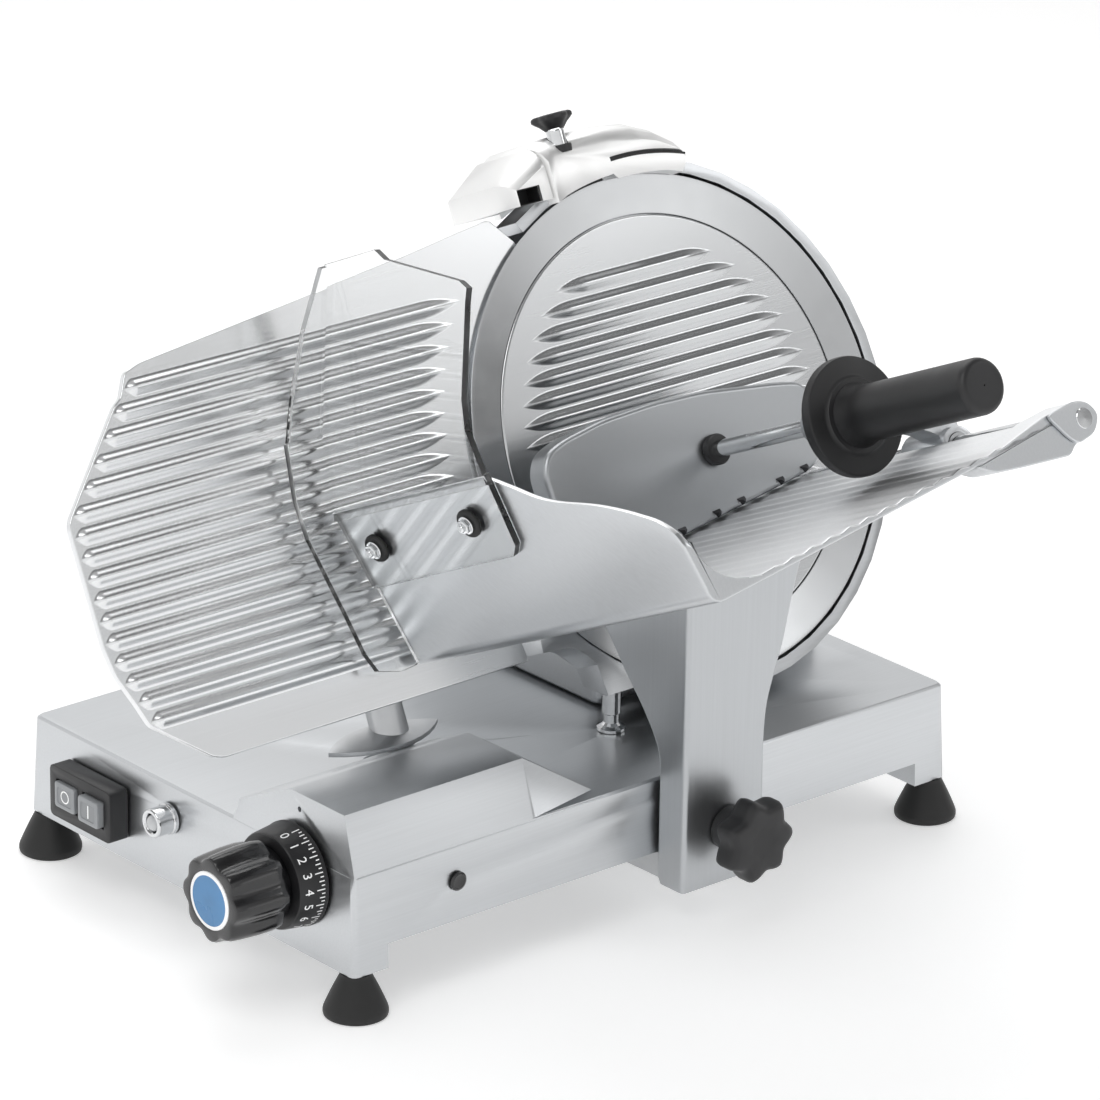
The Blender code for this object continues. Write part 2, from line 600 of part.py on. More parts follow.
def guard_parts():
    wall = Frame(BLADE.at(wall_outside(-88.8), -88.8, 0), BLADE.v - BLADE.u * WALL_LEAN, BLADE.w)
    slant = math.hypot(1, WALL_LEAN)
    corners = ((-37.5, 4.5), (7.5, 4.5), (7.5, 153), (-34, 148), (-39.5, 142), (-40, 12))
    fixing = [((u + 88.8) * slant, h) for u, h in corners]
    sheet = prism("guard_sheet", wall, fixing, -4.3, -GAP)
    panel = Frame(BLADE.at(-263, 5, 0), BLADE.v + BLADE.u * 0.154, BLADE.w)
    upper = [(-4, 4.5), (46, 4.5), (138, 33), (138, 82), (131, 90), (108, 155), (103, 161), (96, 158),
             (45, 142), (28, 141), (-4, 153)]
    flange = [(wall_outside(u) - GAP, u) for u in (6, -88)]
    flange += [(-236, -89), (-246, -90), (-262, -86), (-267.3, -75), (-272.3, -53), (-278.3, -29),
               (-284.3, -4), (-285.7, 19), (-281.5, 50), (-254, 50), (-260.5, 12)]
    tilted = Frame(BLADE.at(0, 48, 4.2), (1, 0, 0), BLADE.v + BLADE.w * 0.305)
    upper_flange = [(-281.5, 0), (-275.2, 27), (-262.8, 65), (-247, 97), (-240, 97), (-255.0, 0)]
    join(sheet, prism("tool_upper_panel", panel, upper, -1.0, 3.0),
         prism("tool_flange", BLADE, flange, 4.2, 8.2),
         prism("tool_upper_flange", tilted, upper_flange, 0.0, 4.0))
    for i, (u, h) in enumerate(SCREW_SPOTS):
        spot = wall_frame(u, h)
        cut(sheet, turned("tool_sheet_hole_%d" % i, spot, [(2.8, -10), (2.8, 10)], 12))
        name = ("rear", "front")[i]
        tube("guard_washer_" + name, spot, [(2.8, 4.6), (8.5, 4.6), (8.5, 6.4), (7.4, 7.4), (2.8, 7.4)], 16)
        turned("guard_screw_" + name, spot, [(4.0, -8), (4.0, -4.8), (2.3, -4.8), (2.3, 7.8), (5.4, 7.8),
                                             (5.2, 11.5), (3.6, 13)], 12)


def press_parts():
    outline = [(-147, -73), (40, -45.6), (56, -38), (56, 0), (50, 6.5), (36, 9.4), (-23, 16.7), (-60, 18),
               (-100, 16.3), (-131, 11.3), (-144, 6.5), (-150, -4)]
    plate = prism("press_plate", BLADE, outline, PRESS_FACE - 15, PRESS_FACE)
    recess = scaled(outline, 0.93, -53, -24)
    cut(plate, prism("tool_press_recess", BLADE, recess, PRESS_FACE - 20, PRESS_FACE - 5))
    teeth = []
    for i in range(6):
        a = -60 + i * 19
        base = -73 + (a + 147) * 0.1465
        tooth = [(a - 3, base + 1.6), (a, base + 8), (a + 3, base + 2.2)]
        teeth.append(prism("tool_tooth_%d" % i, BLADE, tooth, PRESS_FACE - 1, PRESS_FACE + 3))
    join(plate, *teeth)
    rod = BLADE.moved(*PRESS_ROD)
    turned("press_rod", rod, [(9, PRESS_FACE + GAP), (9, PRESS_FACE + 5), (PRESS_ROD_R, PRESS_FACE + 5),
                              (PRESS_ROD_R, 250)], 24)
    slide = BLADE.moved(*GUIDE_ROD)
    tube("press_sleeve", slide, [(GUIDE_ROD_R + GAP, 134), (11, 134), (11, 136), (8.4, 136), (8.4, 174),
                                 (GUIDE_ROD_R + GAP, 174)], 24)
    arm = tube("press_arm", slide, [(8.7, 136.3), (12.3, 136.3), (12.3, 173.5), (8.7, 173.5)], 28)
    web = [(46, -43), (62, -44), (61, -30), (50, -18), (-22, -7)]
    web += arc(*PRESS_ROD, 11, math.pi / 2, 3 * math.pi / 2, 8) + [(-18, -29), (28, -34), (40, -39)]
    join(arm, prism("tool_arm_web", BLADE, web, 150, 168))
    cut(arm, turned("tool_arm_rod_bore", rod, [(PRESS_ROD_R + GAP, 100), (PRESS_ROD_R + GAP, 200)], 24),
        turned("tool_arm_guide_bore", slide, [(8.7, 100), (8.7, 200)], 28))
    tube("handle_disc", rod, [(PRESS_ROD_R + GAP, 179), (33, 179), (34.5, 181), (34.5, 186), (30, 188),
                              (22, 189), (PRESS_ROD_R + GAP, 189)], 32)
    grip = turned("handle_grip", rod, [(18.5, 189.3), (17.5, 193), (16.2, 199), (16.2, 293), (14.5, 296.5),
                                       (12, 297.5)], 32)
    cut(grip, bore("tool_grip_bore", rod, PRESS_ROD_R + GAP, 180, 251))
    bore("guide_rod", slide, GUIDE_ROD_R, 6, 281.5)
    outline = [(28, -45), (50, -41), (60, -43.5), (66, -52), (60, -61.5), (46, -65), (40, -60)]
    cap = prism("rod_end_cap", BLADE, outline, TRAY_FRONT + GAP, 280.5)
    cut(cap, bore("tool_cap_bore", slide, GUIDE_ROD_R + GAP, 270, 300))


# ---------------------------------------------------------------- sharpener

def crowned(outline, drop, anchor, draw):
    """The outline with its top lowered and its points drawn towards the anchor, for a rounded front."""
    return [(a + (anchor - a) * drop * draw, u - drop * max(u - COVER_LOW, 0.0) / 32) for a, u in outline]


def sharpener_covers():
    """Two shells astride the guard ring, the left one with a window and the right one with a slot."""
    outline = [(-88, COVER_LOW), (-88, 161.5), (-61.5, 177.6), (-58.4, 178.2), (-58.4, COVER_LOW)]
    levels = [(2, -46), (0, -43), (0, 2), (1.5, 6), (4.5, 10), (8, 13), (12.5, 15)]
    left = stack("sharpener_left", BLADE, [(crowned(outline, drop, -58.4, 0.014), h) for drop, h in levels])
    cut(left, prism("tool_window", BLADE, box(-83, -66, 140, 156), 6, 20))
    outline = arc(0, 0, 154.5, math.radians(112), math.radians(94), 6)
    outline += arc(0, 0, 149.5, math.radians(93), math.radians(73), 8)
    outline += [(48, 148), (49, 156), (43, 164), (30, 173), (14, 179.5), (-7, 182), (-40, 182), (-52, 181),
                (-58, 178)]
    levels = [(3, -46), (0, -41), (0, 3), (2, 8), (5, 12), (10.5, 15)]
    right = stack("sharpener_right", BLADE, [(crowned(outline, drop, -5.0, 0.006), h) for drop, h in levels])
    slot = sector(159.2, 162.0, math.radians(93.6), math.radians(66), 16)
    cut(right, prism("tool_cover_slot", BLADE, slot, 4, 20))
    for cover in (left, right):
        cut(cover, bore("tool_ring_space_" + cover.name, BLADE, GUARD_OUT_R + 0.5, GUARD_BACK - 1, 1.5, 64),
            prism("tool_stone_space_" + cover.name, BLADE, box(-80, -40, 130, 164), -38, 8))
    return left, right


def sharpener_parts():
    """The covers with their lock knob, push button and two stones."""
    left, right = sharpener_covers()
    knob_axis = Frame(BLADE.at(-30, 0, -3), BLADE.w, BLADE.u)
    turned("sharpener_knob", knob_axis, [(3.0, 174), (3.0, 184), (6, 185), (12.5, 191.5), (12.8, 194),
                                         (9, 195.5)], 24)
    button_axis = Frame(BLADE.at(-39, 0, 8), BLADE.w, BLADE.u)
    cut(right, turned("tool_knob_seat", knob_axis, [(3.4, 170), (3.4, 190)], 16),
        turned("tool_button_seat", button_axis, [(4.4, 162), (4.4, 171), (5.9, 171), (5.9, 190)], 16))
    turned("sharpener_button", button_axis, [(4.0, 169.5), (4.0, 174.4), (5.4, 174.6), (5.4, 184.2),
                                             (4.4, 185.6)], 20)
    for name, cover, (a, u), profile, bore in (
            ("stone_grind", left, (-69, 156.5), [(2.5, -43), (2.5, -14), (7, -14), (7, -4)], (-44, -30)),
            ("stone_hone", right, (-49, 156.5), [(7, 1.5), (7, 7.5), (2.5, 7.5), (2.5, 12)], (7.6, 13))):
        spot = BLADE.moved(a, u)
        turned(name, spot, profile)
        cut(cover, turned("tool_bore_" + name, spot, [(2.8, bore[0]), (2.8, bore[1])], 16))


def recentre():
    """Puts the origin on the table under the middle of the machine."""
    bpy.context.view_layer.update()
    graph = bpy.context.evaluated_depsgraph_get()
    low, high = Vector((9, 9, 9)), Vector((-9, -9, -9))
    for piece in bpy.data.objects:
        if piece.type != "MESH" or piece.hide_render:
            continue
        shape = piece.evaluated_get(graph)
        for vertex in shape.data.vertices:
            for i in range(3):
                low[i], high[i] = min(low[i], vertex.co[i]), max(high[i], vertex.co[i])
    shift = Vector((-(low.x + high.x) / 2, -(low.y + high.y) / 2, -low.z))
    for piece in bpy.data.objects:
        piece.location = shift
    print("shift mm", [round(x / MM, 3) for x in shift], "size", [round(x / MM, 2) for x in high - low])


for old in list(bpy.data.objects):
    bpy.data.objects.remove(old)
base_casting()
feet()
motor_housing()
blade_guard()
ring_post()
blade_parts()
drive_parts()
gauge_plate()
gauge_bracket()
dial_parts()
switch_parts()
tray()
carriage_column()
carriage_parts()
guard_parts()
press_parts()
sharpener_parts()
recentre()
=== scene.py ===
"""Looks of the deli meat slicer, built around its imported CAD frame.

Points are written in millimetres from the base casting's lower front left corner, as in the CAD
source, and a Frame turns them into metres in the row's own frame.
"""
import json
import math

import bmesh
import bpy
from mathutils import Matrix, Vector


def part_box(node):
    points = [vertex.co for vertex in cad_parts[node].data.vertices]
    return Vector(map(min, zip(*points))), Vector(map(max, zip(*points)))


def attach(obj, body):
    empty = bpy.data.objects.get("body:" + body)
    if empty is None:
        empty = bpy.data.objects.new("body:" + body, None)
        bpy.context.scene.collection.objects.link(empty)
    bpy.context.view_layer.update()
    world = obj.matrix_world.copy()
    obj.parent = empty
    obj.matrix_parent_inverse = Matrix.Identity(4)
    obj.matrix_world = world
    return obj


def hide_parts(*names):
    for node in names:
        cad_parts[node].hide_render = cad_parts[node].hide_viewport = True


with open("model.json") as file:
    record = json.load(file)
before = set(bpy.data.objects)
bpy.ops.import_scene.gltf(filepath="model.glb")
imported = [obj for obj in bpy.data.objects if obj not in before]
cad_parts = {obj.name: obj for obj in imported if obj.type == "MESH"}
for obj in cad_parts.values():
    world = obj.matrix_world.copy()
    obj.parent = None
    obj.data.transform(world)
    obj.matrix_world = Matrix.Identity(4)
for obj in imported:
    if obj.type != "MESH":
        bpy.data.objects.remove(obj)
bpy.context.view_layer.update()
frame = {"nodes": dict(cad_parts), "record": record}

MM = 0.001
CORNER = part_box("base_casting")[0] / MM
BODY_OF = {node: body for body, members in frame["record"]["behaviour"]["bodies"].items() for node in members}
SLOT_OF = {part["node"]: part["material_slot"] for part in frame["record"]["subparts"]}

BLADE_CENTRE = CORNER + Vector((344.6, 124.3, 211.5))
BLADE_TILT = math.radians(25.0)

# The ribbed plates, measured in the blade's frame
PLATE_FACE = -3.3
GAUGE_BACK = -7.6
GAUGE_EDGE_R = 146.0
GAUGE_RIB_TOP = 103.0
GAUGE_RIBS = 16
GAUGE_RIB_END_R = 164.0
COVER_RIB_TOP = 94.0
COVER_RIBS = 17
COVER_RIB_END_R = 112.0
COVER_RIB_PITCH = 11.9
RIB_PITCH = 12.0
RIB_HALF = 5.6
RIB_RISE = 2.8
RIB_ROOT = 0.8

# The tray, measured in the blade's frame
WALL_LEAN = 0.282
WALL_FOOT = (-232.8, -88.8)
WALL_THICKNESS = 4.5
FLOOR_SLOPE = 0.147
FLOOR_LOW = (-198.6, -85.9)
FLOOR_THICKNESS = 4.0
FLOOR_GROOVE = 1.1
TRAY_RIB_PITCH = 14.5

DIAL_ZERO = math.radians(13.0)
DIAL_STEP = math.radians(18.5)
TICKS_PER_STEP = 4
SHARPEST_SMOOTH = math.radians(35.0)
# Nodes whose look differs from the other nodes of their slot; the column's darker metal is painted shade
FINISH_AND_SHADE_OF = {"carriage_column": "column_metal_painted_shade", "press_plate": "press_metal", "blade_cover": "cover_plate",
             "press_sleeve": "plain_steel"}


class Frame:
    """An origin and two axes in millimetres; the third axis is their cross product."""

    def __init__(self, origin, u, v):
        self.origin = Vector(origin)
        self.u = Vector(u).normalized()
        self.v = Vector(v).normalized()
        self.w = self.u.cross(self.v)

    def at(self, u, v, w):
        """The point in metres."""
        return (self.origin + self.u * u + self.v * v + self.w * w) * MM

    def moved(self, u, v, w=0.0):
        return Frame(self.at(u, v, w) / MM, self.u, self.v)


UP_BLADE = Vector((0.0, math.sin(BLADE_TILT), math.cos(BLADE_TILT)))
WORLD = Frame(CORNER, (1, 0, 0), (0, 1, 0))
ALONG_X = Frame(CORNER, (0, 1, 0), (0, 0, 1))
TO_OPERATOR = Frame(CORNER, (1, 0, 0), (0, 0, 1))
BLADE = Frame(BLADE_CENTRE, (1, 0, 0), UP_BLADE)


# ---------------------------------------------------------------- materials

class Shader:
    """A material under construction: adds nodes in object space and links them to the surface."""

    def __init__(self, name, **sockets):
        self.material = bpy.data.materials.new(name)
        self.material.use_nodes = True
        self.tree = self.material.node_tree
        self.surface = self.tree.nodes["Principled BSDF"]
        self.place = self.tree.nodes.new("ShaderNodeTexCoord").outputs["Object"]
        for label, value in sockets.items():
            self.surface.inputs[label.replace("_", " ")].default_value = value

    def node(self, kind, **settings):
        made = self.tree.nodes.new("ShaderNode" + kind)
        for label, value in settings.items():
            setattr(made, label, value)
        return made

    def link(self, source, target):
        self.tree.links.new(source, target)

    def drive(self, source, socket):
        self.link(source, self.surface.inputs[socket])

    def stretched(self, axis_scale, turn=(0, 0, 0)):
        """Object coordinates turned and scaled, for grain that runs one way."""
        turned, sized = self.node("Mapping"), self.node("Mapping")
        turned.inputs["Rotation"].default_value = turn
        sized.inputs["Scale"].default_value = axis_scale
        self.link(self.place, turned.inputs["Vector"])
        self.link(turned.outputs["Vector"], sized.inputs["Vector"])
        return sized.outputs["Vector"]

    def noise(self, scale, where=None, detail=3.0, roughness=0.55):
        noise = self.node("TexNoise")
        noise.inputs["Scale"].default_value = scale
        noise.inputs["Detail"].default_value = detail
        noise.inputs["Roughness"].default_value = roughness
        self.link(where or self.place, noise.inputs["Vector"])
        return noise.outputs["Fac"]

    def spread(self, value, low, high, span=(0.3, 0.7)):
        """Maps a noise value's useful span onto low..high."""
        mapped = self.node("MapRange")
        for label, number in zip(("From Min", "From Max", "To Min", "To Max"), (*span, low, high)):
            mapped.inputs[label].default_value = number
        self.link(value, mapped.inputs["Value"])
        return mapped.outputs["Result"]

    def math(self, operation, a, b):
        made = self.node("Math", operation=operation)
        for socket, value in zip(made.inputs, (a, b)):
            if isinstance(value, (int, float)):
                socket.default_value = value
            else:
                self.link(value, socket)
        return made.outputs[0]

    def blend(self, factor, dark, light):
        """A colour between two colours."""
        mix = self.node("Mix", data_type="RGBA")
        self.link(factor, mix.inputs["Factor"])
        for socket, colour in zip((mix.inputs[6], mix.inputs[7]), (dark, light)):
            if isinstance(colour, (tuple, list)):
                socket.default_value = (*colour[:3], 1.0)
            else:
                self.link(colour, socket)
        return mix.outputs[2]

    def bump(self, height, distance):
        made = self.node("Bump")
        made.inputs["Distance"].default_value = distance
        self.link(height, made.inputs["Height"])
        self.drive(made.outputs["Normal"], "Normal")

    def worn(self):
        """0 on flat faces, 1 on outer edges."""
        return self.spread(self.node("NewGeometry").outputs["Pointiness"], 0.0, 1.0, (0.50, 0.56))


def brushed(name, colour, roughness, grain, turn=(0, 0, 0), scratch=0.000004, contrast=0.05):
    """Metal finished with fine strokes; grain is the noise scale along each axis."""
    shader = Shader(name, Metallic=1.0)
    strokes = shader.noise(1.0, shader.stretched(grain, turn), 3.0, 0.5)
    clouds = shader.noise(7.0, detail=2.0)
    tone = shader.math("ADD", shader.math("MULTIPLY", strokes, 0.5), shader.math("MULTIPLY", clouds, 0.5))
    shader.drive(shader.blend(shader.spread(tone, 0.0, 1.0), [c * (1 - contrast) for c in colour],
                              [min(1.0, c * (1 + contrast)) for c in colour]), "Base Color")
    shader.drive(shader.spread(tone, roughness - 0.03, roughness + 0.05), "Roughness")
    shader.bump(strokes, scratch)
    return shader.material


def moulded(name, colour, roughness, grain, depth, coat=0.0):
    """Moulded plastic or rubber with a fine grain, lighter where the edges are rubbed."""
    shader = Shader(name, Coat_Weight=coat, Coat_Roughness=0.08)
    fine = shader.noise(grain, detail=2.0)
    clouds = shader.noise(30.0)
    edge = shader.worn()
    rubbed = [c * 1.5 + 0.004 for c in colour]
    shader.drive(shader.blend(shader.math("MULTIPLY", edge, clouds), colour, rubbed), "Base Color")
    shader.drive(shader.spread(clouds, roughness - 0.05, roughness + 0.08), "Roughness")
    shader.bump(fine, depth)
    return shader.material


def polished(name, colour, roughness=0.08):
    """Chrome with faint wiping marks."""
    shader = Shader(name, Metallic=1.0)
    wipes = shader.noise(60.0, shader.stretched((1, 1, 6)), 4.0)
    shader.drive(shader.blend(shader.spread(wipes, 0, 1), [c * 0.94 for c in colour], colour), "Base Color")
    shader.drive(shader.spread(wipes, roughness * 0.6, roughness * 1.6), "Roughness")
    shader.bump(wipes, 0.000004)
    return shader.material


def clear(name, colour, roughness):
    """Clear plastic with a little haze."""
    shader = Shader(name, Transmission_Weight=1.0, IOR=1.45)
    haze = shader.noise(40.0, detail=3.0)
    shader.drive(shader.blend(haze, [c * 0.985 for c in colour], colour), "Base Color")
    shader.drive(shader.spread(haze, roughness * 0.5, roughness * 1.6), "Roughness")
    return shader.material


TRAY_TURN = (-BLADE_TILT, 0, 0)
METALS = {
    "cast_body": dict(colour=(0.60, 0.615, 0.63), roughness=0.33, grain=(14, 700, 900)),
    # Darker than the cast body as painted shade, with its grain running up
    "column_metal_painted_shade": dict(colour=(0.50, 0.515, 0.53), roughness=0.34, grain=(900, 900, 12)),
    "press_metal": dict(colour=(0.46, 0.475, 0.49), roughness=0.36, grain=(300, 300, 300), contrast=0.02),
    "cover_plate": dict(colour=(0.62, 0.63, 0.64), roughness=0.25, grain=(10, 1400, 1400), contrast=0.02,
                        scratch=0.000001),
    "ribbed_plate": dict(colour=(0.82, 0.83, 0.84), roughness=0.24, grain=(10, 1400, 1400), contrast=0.02,
                         scratch=0.000001),
    "tray_metal": dict(colour=(0.62, 0.635, 0.65), roughness=0.30, grain=(900, 12, 900), turn=TRAY_TURN),
    # A lighter, rougher copy of the tray metal for faces that look up: painted light
    "tray_floor_painted_light": dict(colour=(0.86, 0.87, 0.88), roughness=0.42, grain=(900, 12, 900), turn=TRAY_TURN),
    "inner_metal": dict(colour=(0.58, 0.59, 0.60), roughness=0.38, grain=(200, 200, 200)),
    "blade_steel": dict(colour=(0.56, 0.57, 0.58), roughness=0.22, grain=(60, 60, 60), contrast=0.01,
                        scratch=0.0000003),
    "plain_steel": dict(colour=(0.50, 0.51, 0.52), roughness=0.3, grain=(400, 400, 400)),
    # Steel darkened as painted shade, for the press plate's teeth
    "steel_painted_shade": dict(colour=(0.10, 0.10, 0.105), roughness=0.4, grain=(400, 400, 400)),
    "bronze": dict(colour=(0.66, 0.45, 0.20), roughness=0.3, grain=(300, 300, 300)),
    "sharpener_white": dict(colour=(0.90, 0.90, 0.895), roughness=0.40, grain=(90, 90, 90), contrast=0.015),
}
PLASTICS = {
    "black_matte": dict(colour=(0.013, 0.013, 0.014), roughness=0.42, grain=2200, depth=0.00002),
    "black_gloss": dict(colour=(0.004, 0.004, 0.005), roughness=0.20, grain=500, depth=0.000006, coat=0.5),
    "dial_print": dict(colour=(0.008, 0.008, 0.009), roughness=0.38, grain=1500, depth=0.00001),
    "badge_blue": dict(colour=(0.04, 0.17, 0.36), roughness=0.30, grain=700, depth=0.000004, coat=0.3),
    "rubber_black": dict(colour=(0.008, 0.008, 0.008), roughness=0.5, grain=1400, depth=0.00003),
    "switch_black": dict(colour=(0.010, 0.010, 0.011), roughness=0.40, grain=1800, depth=0.00002),
    "button_grey": dict(colour=(0.24, 0.25, 0.26), roughness=0.30, grain=900, depth=0.000006, coat=0.2),
    "abrasive": dict(colour=(0.20, 0.17, 0.16), roughness=0.85, grain=3000, depth=0.0002),
    "motor_paint": dict(colour=(0.05, 0.055, 0.06), roughness=0.5, grain=600, depth=0.00004),
    "capacitor_grey": dict(colour=(0.50, 0.51, 0.52), roughness=0.4, grain=600, depth=0.00001),
    "print_white": dict(colour=(0.80, 0.80, 0.80), roughness=0.45, grain=900, depth=0.000004),
    "lens_clear": dict(colour=(0.50, 0.51, 0.52), roughness=0.22, grain=900, depth=0.000006, coat=0.6),
}
MATERIALS = {name: brushed(name, **look) for name, look in METALS.items()}
MATERIALS.update({name: moulded(name, **look) for name, look in PLASTICS.items()})
MATERIALS["chrome"] = polished("chrome", (0.72, 0.73, 0.74))
MATERIALS["clear_sheet"] = clear("clear_sheet", (0.985, 0.99, 0.99), 0.015)
MATERIALS["sheet_edge"] = clear("sheet_edge", (0.88, 0.90, 0.91), 0.35)


# ---------------------------------------------------------------- outlines

def circle(cx, cy, r, start=0.0, turn=2 * math.pi, steps=48, closed=True):
    """Points about (cx, cy); an open arc keeps its last point."""
    count = steps if closed else steps + 1
    return [(cx + r * math.cos(start + turn * i / steps), cy + r * math.sin(start + turn * i / steps))
            for i in range(count)]


def arc(cx, cy, r, start_deg, end_deg, steps=24):
    start, end = math.radians(start_deg), math.radians(end_deg)
    return circle(cx, cy, r, start, end - start, steps, closed=False)


def rectangle(x0, x1, y0, y1):
    return [(x0, y0), (x1, y0), (x1, y1), (x0, y1)]


def scaled(outline, k):
    return [(x * k, y * k) for x, y in outline]


def softened(outline, radius, steps=4):
    """The outline with every corner eased by about the radius."""
    points = [Vector(p) for p in outline]
    eased = []
    for i, corner in enumerate(points):
        before, after = points[i - 1] - corner, points[(i + 1) % len(points)] - corner
        reach = min(radius, before.length * 0.48, after.length * 0.48)
        start, end = corner + before.normalized() * reach, corner + after.normalized() * reach
        for k in range(steps + 1):
            t = k / steps
            eased.append(tuple(start * (1 - t) ** 2 + corner * (2 * t * (1 - t)) + end * t ** 2))
    return eased


def inset(outline, distance):
    """The outline moved inward by the distance."""
    points = [Vector(p) for p in outline]
    area = sum(a.x * b.y - b.x * a.y for a, b in zip(points, points[1:] + points[:1]))
    side = 1 if area > 0 else -1
    moved = []
    for i, point in enumerate(points):
        into, away = point - points[i - 1], points[(i + 1) % len(points)] - point
        n1 = Vector((-into.y, into.x)).normalized() * side
        n2 = Vector((-away.y, away.x)).normalized() * side
        miter = (n1 + n2) / max(0.3, 1 + n1.dot(n2))
        moved.append(tuple(point + miter * distance))
    return moved


def curve_through(points, x):
    """A smooth function through (x, y) points with rising x."""
    if x <= points[0][0]:
        return points[0][1]
    if x >= points[-1][0]:
        return points[-1][1]
    slopes = [(q[1] - p[1]) / (q[0] - p[0]) for p, q in zip(points, points[1:])]
    inner = [(s + t) / 2 if s * t > 0 else 0.0 for s, t in zip(slopes, slopes[1:])]
    tangents = [slopes[0]] + inner + [slopes[-1]]
    i = max(k for k, p in enumerate(points) if p[0] <= x)
    (x0, y0), (x1, y1) = points[i], points[i + 1]
    width = x1 - x0
    t = (x - x0) / width
    return (y0 * (1 + 2 * t) * (1 - t) ** 2 + tangents[i] * width * t * (1 - t) ** 2
            + y1 * t * t * (3 - 2 * t) + tangents[i + 1] * width * t * t * (t - 1))


# ---------------------------------------------------------------- meshes

def new_piece(name, mesh):
    """An object made from a bmesh, which is freed."""
    bmesh.ops.recalc_face_normals(mesh, faces=mesh.faces)
    data = bpy.data.meshes.new(name)
    mesh.to_mesh(data)
    mesh.free()
    piece = bpy.data.objects.new(name, data)
    bpy.context.scene.collection.objects.link(piece)
    return piece


def add_loft(mesh, loops, capped=True, ring=False):
    """Skins loops of world points; ring joins the last loop to the first."""
    rows = [[mesh.verts.new(point) for point in loop] for loop in loops]
    pairs = list(zip(rows, rows[1:])) + ([(rows[-1], rows[0])] if ring else [])
    for below, above in pairs:
        for i in range(len(below)):
            j = (i + 1) % len(below)
            mesh.faces.new((below[i], below[j], above[j], above[i]))
    if capped and not ring:
        mesh.faces.new(rows[0][::-1])
        mesh.faces.new(rows[-1])


def add_stack(mesh, where, levels):
    """A loft through (outline, w) levels of one frame."""
    add_loft(mesh, [[where.at(x, y, w) for x, y in outline] for outline, w in levels])


def rounded_levels(outline, low, high, edge, steps=4):
    """Levels of a slab whose two rims are rounded by the edge radius."""
    turns = [math.radians(90) * i / steps for i in range(steps + 1)]
    lower = [(inset(outline, edge * (1 - math.sin(t))), low + edge * (1 - math.cos(t))) for t in turns]
    upper = [(inset(outline, edge * (1 - math.sin(t))), high - edge * (1 - math.cos(t))) for t in turns[::-1]]
    return lower + upper


def add_slab(mesh, where, outline, low, high, edge):
    add_stack(mesh, where, rounded_levels(outline, low, high, edge))


def add_turned(mesh, where, profile, steps=96, closed=False):
    """A surface turned about w from (radius, w) pairs; closed joins the last pair to the first."""
    loops = [[where.at(r * math.cos(2 * math.pi * i / steps), r * math.sin(2 * math.pi * i / steps), w)
              for i in range(steps)] for r, w in profile]
    add_loft(mesh, loops, ring=closed)


def add_swept(mesh, where, profile, start_deg, end_deg, steps=96):
    """A closed (radius, w) profile swept round part of a turn, with both ends capped."""
    loops = []
    for i in range(steps + 1):
        angle = math.radians(start_deg + (end_deg - start_deg) * i / steps)
        loops.append([where.at(r * math.cos(angle), r * math.sin(angle), w) for r, w in profile])
    add_loft(mesh, loops)


def shaded(piece):
    """Smooth shading that keeps sharp edges, with big faces left flat."""
    mesh = bmesh.new()
    mesh.from_mesh(piece.data)
    for face in mesh.faces:
        face.smooth = True
    for edge in mesh.edges:
        edge.smooth = not (edge.is_manifold and edge.calc_face_angle(0.0) > SHARPEST_SMOOTH)
    mesh.to_mesh(piece.data)
    mesh.free()
    normals = piece.modifiers.new("normals", "WEIGHTED_NORMAL")
    normals.keep_sharp = True
    normals.weight = 80
    return piece


def paint(piece, node):
    """Gives a piece the finish of its node; the column's finish carries painted shade."""
    piece.data.materials.clear()
    piece.data.materials.append(MATERIALS[FINISH_AND_SHADE_OF.get(node, SLOT_OF[node])])


def stands_for(piece, node):
    """Gives a piece its node's body and material, and hides the node."""
    paint(piece, node)
    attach(piece, BODY_OF[node])
    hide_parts(node)
    return piece


def make(node, build):
    """A piece for the node whose mesh the function builds."""
    mesh = bmesh.new()
    build(mesh)
    return stands_for(shaded(new_piece(node + "_shape", mesh)), node)


def detail(name, body, slot, build, material):
    """An extra piece that belongs to a body but stands for no node."""
    mesh = bmesh.new()
    build(mesh)
    piece = shaded(new_piece(name, mesh))
    piece.data.materials.append(MATERIALS[material])
    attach(piece, body)
    return piece


def from_node(node, width, segments=3, flat=False):
    """A copy of a CAD node's shape, welded and with its edges rounded."""
    mesh = bmesh.new()
    mesh.from_mesh(frame["nodes"][node].data)
    bmesh.ops.remove_doubles(mesh, verts=mesh.verts, dist=0.002 * MM)
    bmesh.ops.dissolve_degenerate(mesh, edges=mesh.edges, dist=0.002 * MM)
    bmesh.ops.dissolve_limit(mesh, angle_limit=math.radians(0.3), verts=mesh.verts, edges=mesh.edges)
    piece = new_piece(node + "_shape", mesh)
    bevel = piece.modifiers.new("rounded", "BEVEL")
    bevel.width = width * MM
    bevel.segments = segments
    bevel.limit_method = "ANGLE"
    bevel.angle_limit = math.radians(30)
    bevel.harden_normals = not flat
    if not flat:
        piece.data.shade_smooth()
    return stands_for(piece, node)


def recoat(piece, material, chosen):
    """Gives the chosen faces another material: the sheet's edges their own finish, the tray floor its painted
    light.
    """
    piece.data.materials.append(MATERIALS[material])
    mesh = bmesh.new()
    mesh.from_mesh(piece.data)
    for face in mesh.faces:
        if chosen(face):
            face.material_index = 1
    mesh.to_mesh(piece.data)
    mesh.free()


def is_rim(face):
    """Whether the face is a narrow one along the edge of a sheet."""
    narrow = 2 * face.calc_area() / face.calc_perimeter() < 4.2 * MM
    return narrow and all(edge.calc_face_angle(1.0) > 0.1 for edge in face.edges)


def faces_up(face):
    """Whether the face looks more or less straight up."""
    return face.normal.z > 0.8


# ---------------------------------------------------------------- ribbed plates

